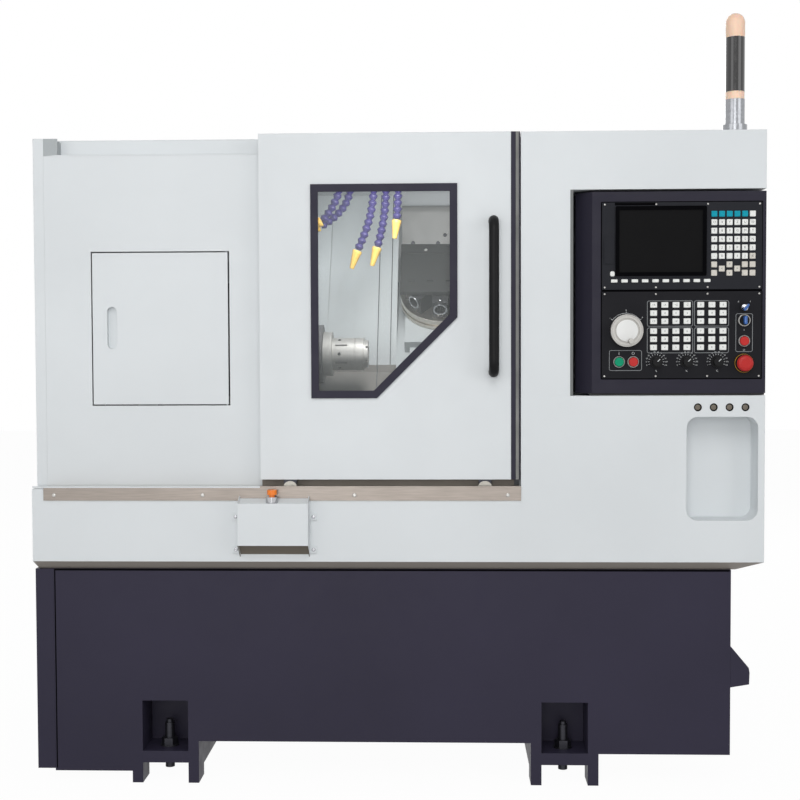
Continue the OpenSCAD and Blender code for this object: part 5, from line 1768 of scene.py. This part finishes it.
@dataclass
class DoorTrim:
    """Handle, edge strip and a grey strip of painted shade beside the door, and the caps before its rollers.

    Attributes:
        front: Front face of the door's sheet.
        sunk: Depth to which the strip and the seal reach into the sheet.
        gap: Distance of the handle's ends from the sheet.
        handle_x: Middle of the handle.
        handle_y: Front of the handle's middle line.
        handle_z: Lower and upper end of that line.
        bend: Radius of its bends.
        handle_r: Radius of the bar.
        strip_x: Edges of the dark strip.
        strip_rise: Height of the strip over the sheet.
        shade_x: Edges of the grey strip of painted shade, standing for the set-back flange beside the door.
        shade_rise: Height of that strip over the sheet.
        roller_x: Middles of the two rollers.
        cap_y: Front and back of the round caps before the rollers.
        cap_z: Middle and foot of those caps.
        cap_r: Radius of those caps.
    """

    front: float = -632.0
    sunk: float = 0.1
    gap: float = 0.1
    handle_x: float = 247.5
    handle_y: float = -682.5
    handle_z: Pair = (1049.5, 1425.5)
    bend: float = 30.0
    handle_r: float = 12.5
    strip_x: Pair = (291.5, 302.9)
    strip_rise: float = 1.2
    shade_x: Pair = (303.4, 311.0)
    shade_rise: float = 0.9
    roller_x: Pair = (-264.5, 226.5)
    cap_y: Pair = (-631.8, -629.9)
    cap_z: Pair = (758.0, 761.6)
    cap_r: float = 18.4

    def handle(self) -> Surface:
        """Bar bent twice: out from the door, a quarter circle, straight down, a quarter circle and back.

        Returns:
            The bar as a closed tube.
        """
        low, high = self.handle_z
        quarter = np.linspace(0.0, math.pi / 2.0, 12)
        ends = [self.front - self.gap, self.front - 2.0 * self.gap]
        y = np.concatenate([ends, self.handle_y + self.bend - self.bend * np.sin(quarter)])
        z = np.concatenate([[high, high], high - self.bend + self.bend * np.cos(quarter)])
        upper = np.stack([np.full_like(y, self.handle_x), y, z], axis=-1)
        lower = upper[::-1] * [1.0, 1.0, -1.0] + [0.0, 0.0, low + high]
        path = np.concatenate([upper, lower])
        radius = np.full(len(path), self.handle_r)
        radius[0] = radius[-1] = 0.0
        return tube(path, (1.0, 0.0, 0.0), radius, 36)

    def cap(self, x: float) -> Surface:
        """Round cap cut off at its foot: an arc and its chord, carried along Y and closed at the middle.

        Args:
            x: Its middle.

        Returns:
            The cap.
        """
        middle, foot = self.cap_z
        start = math.asin((foot - middle) / self.cap_r)
        angle = np.linspace(start, math.pi - start, 32)
        outline = np.stack([x + self.cap_r * np.cos(angle), middle + self.cap_r * np.sin(angle)], axis=-1)
        centre = np.broadcast_to(outline.mean(axis=0), outline.shape)
        front, back = self.cap_y
        rows = [(centre, front), (outline, front), (outline, back), (centre, back)]
        grid = [np.stack([flat[:, 0], np.full(len(flat), y), flat[:, 1]], axis=-1) for flat, y in rows]
        return Surface.from_grid(np.stack(grid))

    def upright(self, edges: Pair, rise: float) -> Surface:
        """Flat strip on the door's sheet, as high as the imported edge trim: a box."""
        low, high = (corner.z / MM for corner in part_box("door_edge_trim"))
        return block((edges[0], self.front - rise, low), (edges[1], self.front + self.sunk, high))

    def build(self, dresser: Dresser) -> None:
        """Makes the handle, the strip, the grey strip of painted shade and the caps.

        Args:
            dresser: Takes the pieces.
        """
        bar = dresser.put("handle_bar", self.handle(), BLACK, "door")
        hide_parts("door_handle")
        strip = self.upright(self.strip_x, self.strip_rise)
        dresser.put("door_strip", strip, TRIM, "door")
        # Grey strip beside the dark edge strip: painted shade of the set-back flange.
        shade_strip = self.upright(self.shade_x, self.shade_rise)
        dresser.put("door_edge_shade", shade_strip, DOOR_EDGE_SHADE, "door")
        caps = Surface.join([self.cap(x) for x in self.roller_x])
        dresser.put("roller_caps", caps, STEEL, "door", 30.0)


@dataclass
class SheetTrim:
    """Rail lip, apron ledge, and painted shade on the niche's edge, in the holes, round the plates and under
    the panel box.

    Attributes:
        rail_y: Front, and the backs of the rail's lip and the apron's ledge.
        lip_z: Foot and top of both, over the rail's upper edge.
        door_x: Left edge of the closed door.
        apron_x: Left end of the apron.
        edge_shade: Two opposite corners of the grey strip of painted shade on the niche's left edge.
        hole_x: Middles of the four holes over the pocket.
        hole_y: Depth of the discs of painted shade in them.
        hole_z: Height of those holes.
        plate_x: Middle of the control plates.
        plate_y: Face of the box behind the plates.
        plate_z: Middles of the two plates.
        shadow_frame: Outer width and height, corner radius, width and height of the dark frame of painted
            shadow round a plate.
        shade_strip: Two opposite corners of the black strip of painted shade under the panel box.
    """

    rail_y: Point = (-643.0, -641.0, -640.0)
    lip_z: Pair = (-0.1, 4.4)
    door_x: float = -339.5
    apron_x: float = -918.0
    edge_shade: tuple[Point, Point] = ((438.0, -640.6, 990.0), (445.0, -639.6, 1501.0))
    hole_x: tuple[float, ...] = (754.6, 793.7, 832.8, 871.9)
    hole_y: float = -636.6
    hole_z: float = 960.5
    plate_x: float = 712.5
    plate_y: float = -640.0
    plate_z: Pair = (1360.5, 1140.5)
    shadow_frame: tuple[float, float, float, float, float] = (398.0, 220.0, 3.0, 2.4, 0.5)
    shade_strip: tuple[Point, Point] = ((486.0, -637.0, 991.2), (918.0, -630.0, 996.1))

    def build(self, dresser: Dresser) -> None:
        """Makes the lip, the ledge, and the painted shade on the niche's edge, in the holes, round the
        plates and under the panel box.

        Args:
            dresser: Takes the pieces.
        """
        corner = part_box("door_rail")[1]
        end, top = corner.x / MM, corner.z / MM
        front, lip_back, ledge_back = self.rail_y
        low, high = (top + z for z in self.lip_z)
        lip = block((self.door_x, front, low), (end, lip_back, high))
        dresser.put("rail_lip", lip, STAINLESS, "machine")
        ledge = block((self.apron_x, front, low), (self.door_x, ledge_back, high))
        dresser.put("apron_ledge", ledge, ENCLOSURE, "machine")
        # A grey strip on the niche's left edge: painted shade.
        dresser.put("niche_edge_shade", block(*self.edge_shade), NICHE_EDGE_SHADE, "machine")
        places = np.array([(x, self.hole_y, self.hole_z) for x in self.hole_x])
        # Black rings and grey-brown discs in the holes: painted shadow at their edges and painted shade
        # inside.
        rim = turned([(0.0, -1.0), (10.3, -1.0), (10.3, 0.0), (0.0, 0.0)], Axis.FRONT, 32)
        dresser.put("hole_shadow_rims", Surface.copies(rim, places), JOINT_AND_SHADOW, "machine")
        hole_shade_disc = turned([(0.0, -0.2), (7.0, -0.2), (6.8, 0.8), (6.0, 1.2), (0.0, 1.3)], Axis.FRONT, 32)
        dresser.put("hole_shade_discs", Surface.copies(hole_shade_disc, places), SHADE, "machine")
        # Dark frames round the two plates: painted shadow along their edges.
        frame = outline_strip(*self.shadow_frame)
        around = np.array([(self.plate_x, self.plate_y, z) for z in self.plate_z])
        dresser.put("plate_shadow_frames", Surface.copies(frame, around, True), JOINT_AND_SHADOW, "operator_panel")
        # Black strip under the panel box: painted shade in the gap beneath it.
        dresser.put("panel_shade_strip", block(*self.shade_strip), RUBBER, "operator_panel")


@dataclass
class Strips:
    """Painted shade in the gap under the door, the base's seam with a painted shadow line, and the sleeve of
    the box's button.

    Attributes:
        gap_shade: Two opposite corners of the grey-brown sheet of painted shade in the gap under the door.
        seam: Two opposite corners of the joint between the base and its end cover.
        top_shadow_line: Two opposite corners of the black line of painted shadow along the upper edge of the
            base.
        button: Middle of the box's button, on top of its sleeve.
    """

    gap_shade: tuple[Point, Point] = ((-338.5, -606.0, 761.4), (300.5, -603.0, 780.0))
    seam: tuple[Point, Point] = ((-872.2, -620.3, 37.0), (-869.0, -619.4, 550.0))
    top_shadow_line: tuple[Point, Point] = ((-872.0, -620.4, 546.4), (840.0, -619.4, 550.8))
    button: Point = (-307.0, -660.0, 739.0)

    def build(self, dresser: Dresser) -> None:
        """Makes the strips and the sleeve.

        Args:
            dresser: Takes the pieces.
        """
        # Grey-brown sheet in the gap under the door: painted shade.
        dresser.put("door_gap_shade", block(*self.gap_shade), DOOR_GAP_SHADE, "door")
        # The end joint is a dark seam; the line along the top is painted shadow.
        seams = Surface.join([block(*self.seam), block(*self.top_shadow_line)])
        dresser.put("base_seam_and_shadow", seams, JOINT_AND_SHADOW, "machine")
        profile = [
            (7.4, 0.6), (15.2, 0.6), (15.6, 0.2), (15.6, -16.0), (15.05, -16.0), (15.05, 0.05), (7.4, 0.05),
        ]
        sleeve = moved(Surface.from_grid(turned(profile, Axis.Z, 48), True), self.button)
        dresser.put("button_sleeve", sleeve, CHROME, "machine")


@dataclass
class Studio:
    """Camera, lights, floor and surroundings.

    Attributes:
        eye: Camera place in millimetres.
        pitch: Degrees that the camera looks down.
        yaw: Degrees that it looks to the left.
        roll: Degrees that it leans.
        focal: Focal length in pixels of the image.
        image: Width of the image in pixels.
        sensor: Width of the camera's sensor in millimetres.
        floor_half: Half of the floor's side in metres.
        floor_grey: Grey of the floor under the machine's shadow.
        floor_glow: Strength of the white that the eye sees.
        floor_share: Share of that white in what the eye sees.
        sky: Strength of the soft light from all sides.
        sky_color: Colour of that light.
        lamps: Name, place, target, side length and power of each lamp, in metres and watts.
    """

    eye: Point = (120.4, -3890.0, 1105.6)
    pitch: float = 2.202
    yaw: float = 1.879
    roll: float = -0.207
    focal: float = 1300.0
    image: int = 800
    sensor: float = 36.0
    floor_half: float = 14.0
    floor_grey: float = 0.66
    floor_glow: float = 1.02
    floor_share: float = 0.95
    sky: float = 0.36
    sky_color: Color = (0.97, 0.985, 1.0)
    lamps: tuple[tuple[str, Point, Point, float, float], ...] = (
        ("key_light", (-3.6, -4.6, 2.2), (0.0, -0.4, 0.9), 3.0, 34.0),
        ("fill_light", (4.3, -4.4, 2.0), (0.1, -0.4, 0.9), 3.0, 44.0),
        ("front_light", (-0.5, -6.6, 1.5), (0.05, -0.4, 0.9), 2.4, 74.0),
        ("top_light", (0.1, -4.7, 4.2), (0.05, -0.5, 0.9), 2.4, 70.0),
        ("rear_light", (0.5, 4.4, 3.2), (0.0, 0.4, 1.0), 2.6, 80.0),
        ("chamber_light", (-0.025, -0.46, 1.5), (-0.02, 0.2, 1.23), 0.2, 3.1),
    )

    def camera(self) -> None:
        """Sets the camera up from its measured place and angles."""
        p, y, r = (math.radians(v) for v in (self.pitch, self.yaw, self.roll))
        forward = Vector((-math.sin(y) * math.cos(p), math.cos(y) * math.cos(p), -math.sin(p)))
        right = Vector((math.cos(y), math.sin(y), 0.0))
        up = right.cross(forward)
        across = math.cos(r) * right + math.sin(r) * up
        upright = -math.sin(r) * right + math.cos(r) * up
        data = bpy.data.cameras.new("photo_camera")
        data.sensor_width = self.sensor
        data.lens = self.sensor * self.focal / self.image
        data.clip_end = 100.0
        eye = bpy.data.objects.new("photo_camera", data)
        turn = Matrix((across, upright, -forward)).transposed().to_4x4()
        eye.matrix_world = Matrix.Translation(Vector(self.eye) * MM) @ turn
        bpy.context.scene.collection.objects.link(eye)
        bpy.context.scene.camera = eye

    @staticmethod
    def lamp(name: str, place: Point, target: Point, size: float, power: float) -> None:
        """Adds one square soft light.

        Args:
            name: Name of the light.
            place: Its place in metres.
            target: The point that it faces, in metres.
            size: Length of its sides in metres.
            power: Its power in watts.
        """
        data = bpy.data.lights.new(name, "AREA")
        data.shape = "SQUARE"
        data.size = size
        data.energy = power
        lamp = bpy.data.objects.new(name, data)
        look = (Vector(target) - Vector(place)).to_track_quat("-Z", "Y")
        lamp.matrix_world = Matrix.Translation(Vector(place)) @ look.to_matrix().to_4x4()
        bpy.context.scene.collection.objects.link(lamp)

    @staticmethod
    def seen_rays(tree: bpy.types.NodeTree) -> bpy.types.NodeSocket:
        """A value that is 1 for camera, mirrored and transmitted rays.

        Args:
            tree: The nodes to which it is added.

        Returns:
            The socket that holds the value.
        """
        path = tree.nodes.new("ShaderNodeLightPath")
        seen = path.outputs["Is Camera Ray"]
        for name in ("Is Glossy Ray", "Is Transmission Ray"):
            either = tree.nodes.new("ShaderNodeMath")
            either.operation = "MAXIMUM"
            tree.links.new(seen, either.inputs[0])
            tree.links.new(path.outputs[name], either.inputs[1])
            seen = either.outputs[0]
        return seen

    def floor(self) -> None:
        """Plain pale floor that keeps a soft shadow and reads white elsewhere."""
        side = np.array([-self.floor_half, self.floor_half])
        grid = np.stack(np.meshgrid(side, side, [0.0], indexing="ij"), axis=-1).reshape(-1, 3)
        mesh = bpy.data.meshes.new("floor")
        mesh.from_pydata(grid.tolist(), [], [(0, 2, 3, 1)])
        ground = bpy.data.objects.new("floor", mesh)
        bpy.context.scene.collection.objects.link(ground)
        finish = bpy.data.materials.new("pale_floor")
        finish.use_nodes = True
        tree = finish.node_tree
        tree.nodes.clear()
        output = tree.nodes.new("ShaderNodeOutputMaterial")
        mix = tree.nodes.new("ShaderNodeMixShader")
        matt = tree.nodes.new("ShaderNodeBsdfDiffuse")
        matt.inputs["Color"].default_value = (self.floor_grey, self.floor_grey, self.floor_grey, 1.0)
        glow = tree.nodes.new("ShaderNodeEmission")
        glow.inputs["Strength"].default_value = self.floor_glow
        share = tree.nodes.new("ShaderNodeMath")
        share.operation = "MULTIPLY"
        share.inputs[1].default_value = self.floor_share
        tree.links.new(self.seen_rays(tree), share.inputs[0])
        tree.links.new(share.outputs[0], mix.inputs[0])
        tree.links.new(matt.outputs[0], mix.inputs[1])
        tree.links.new(glow.outputs[0], mix.inputs[2])
        tree.links.new(mix.outputs[0], output.inputs["Surface"])
        mesh.materials.append(finish)

    def surroundings(self) -> None:
        """White surroundings for the eye, softer light for the machine."""
        world = bpy.data.worlds.new("studio")
        bpy.context.scene.world = world
        world.use_nodes = True
        tree = world.node_tree
        tree.nodes.clear()
        output = tree.nodes.new("ShaderNodeOutputWorld")
        mix = tree.nodes.new("ShaderNodeMixShader")
        soft = tree.nodes.new("ShaderNodeBackground")
        soft.inputs["Color"].default_value = (*self.sky_color, 1.0)
        soft.inputs["Strength"].default_value = self.sky
        white = tree.nodes.new("ShaderNodeBackground")
        white.inputs["Color"].default_value = (1.0, 1.0, 1.0, 1.0)
        white.inputs["Strength"].default_value = 1.0
        tree.links.new(self.seen_rays(tree), mix.inputs[0])
        tree.links.new(soft.outputs[0], mix.inputs[1])
        tree.links.new(white.outputs[0], mix.inputs[2])
        tree.links.new(mix.outputs[0], output.inputs["Surface"])

    def build(self) -> None:
        """Makes the whole studio."""
        bpy.context.scene.view_settings.view_transform = "Standard"
        self.camera()
        self.floor()
        self.surroundings()
        for lamp in self.lamps:
            self.lamp(*lamp)


def main() -> None:
    """Builds the classes in order."""
    logging.basicConfig(level=logging.INFO, format="%(name)s: %(message)s")
    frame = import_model()
    Studio().build()
    CadNodes(frame["nodes"]).dress()
    dresser = Dresser()
    assemblies = (
        Fasteners(), Keypad(), Controls(), UpperPlate(), WorkSpace(), Hoses(), CoverLipsAndShadows(),
        DoorTrim(), SheetTrim(), Strips(),
    )
    for assembly in assemblies:
        assembly.build(dresser)
    LOG.info("%d pieces made", len(dresser.made))


if __name__ == "__main__":
    main()
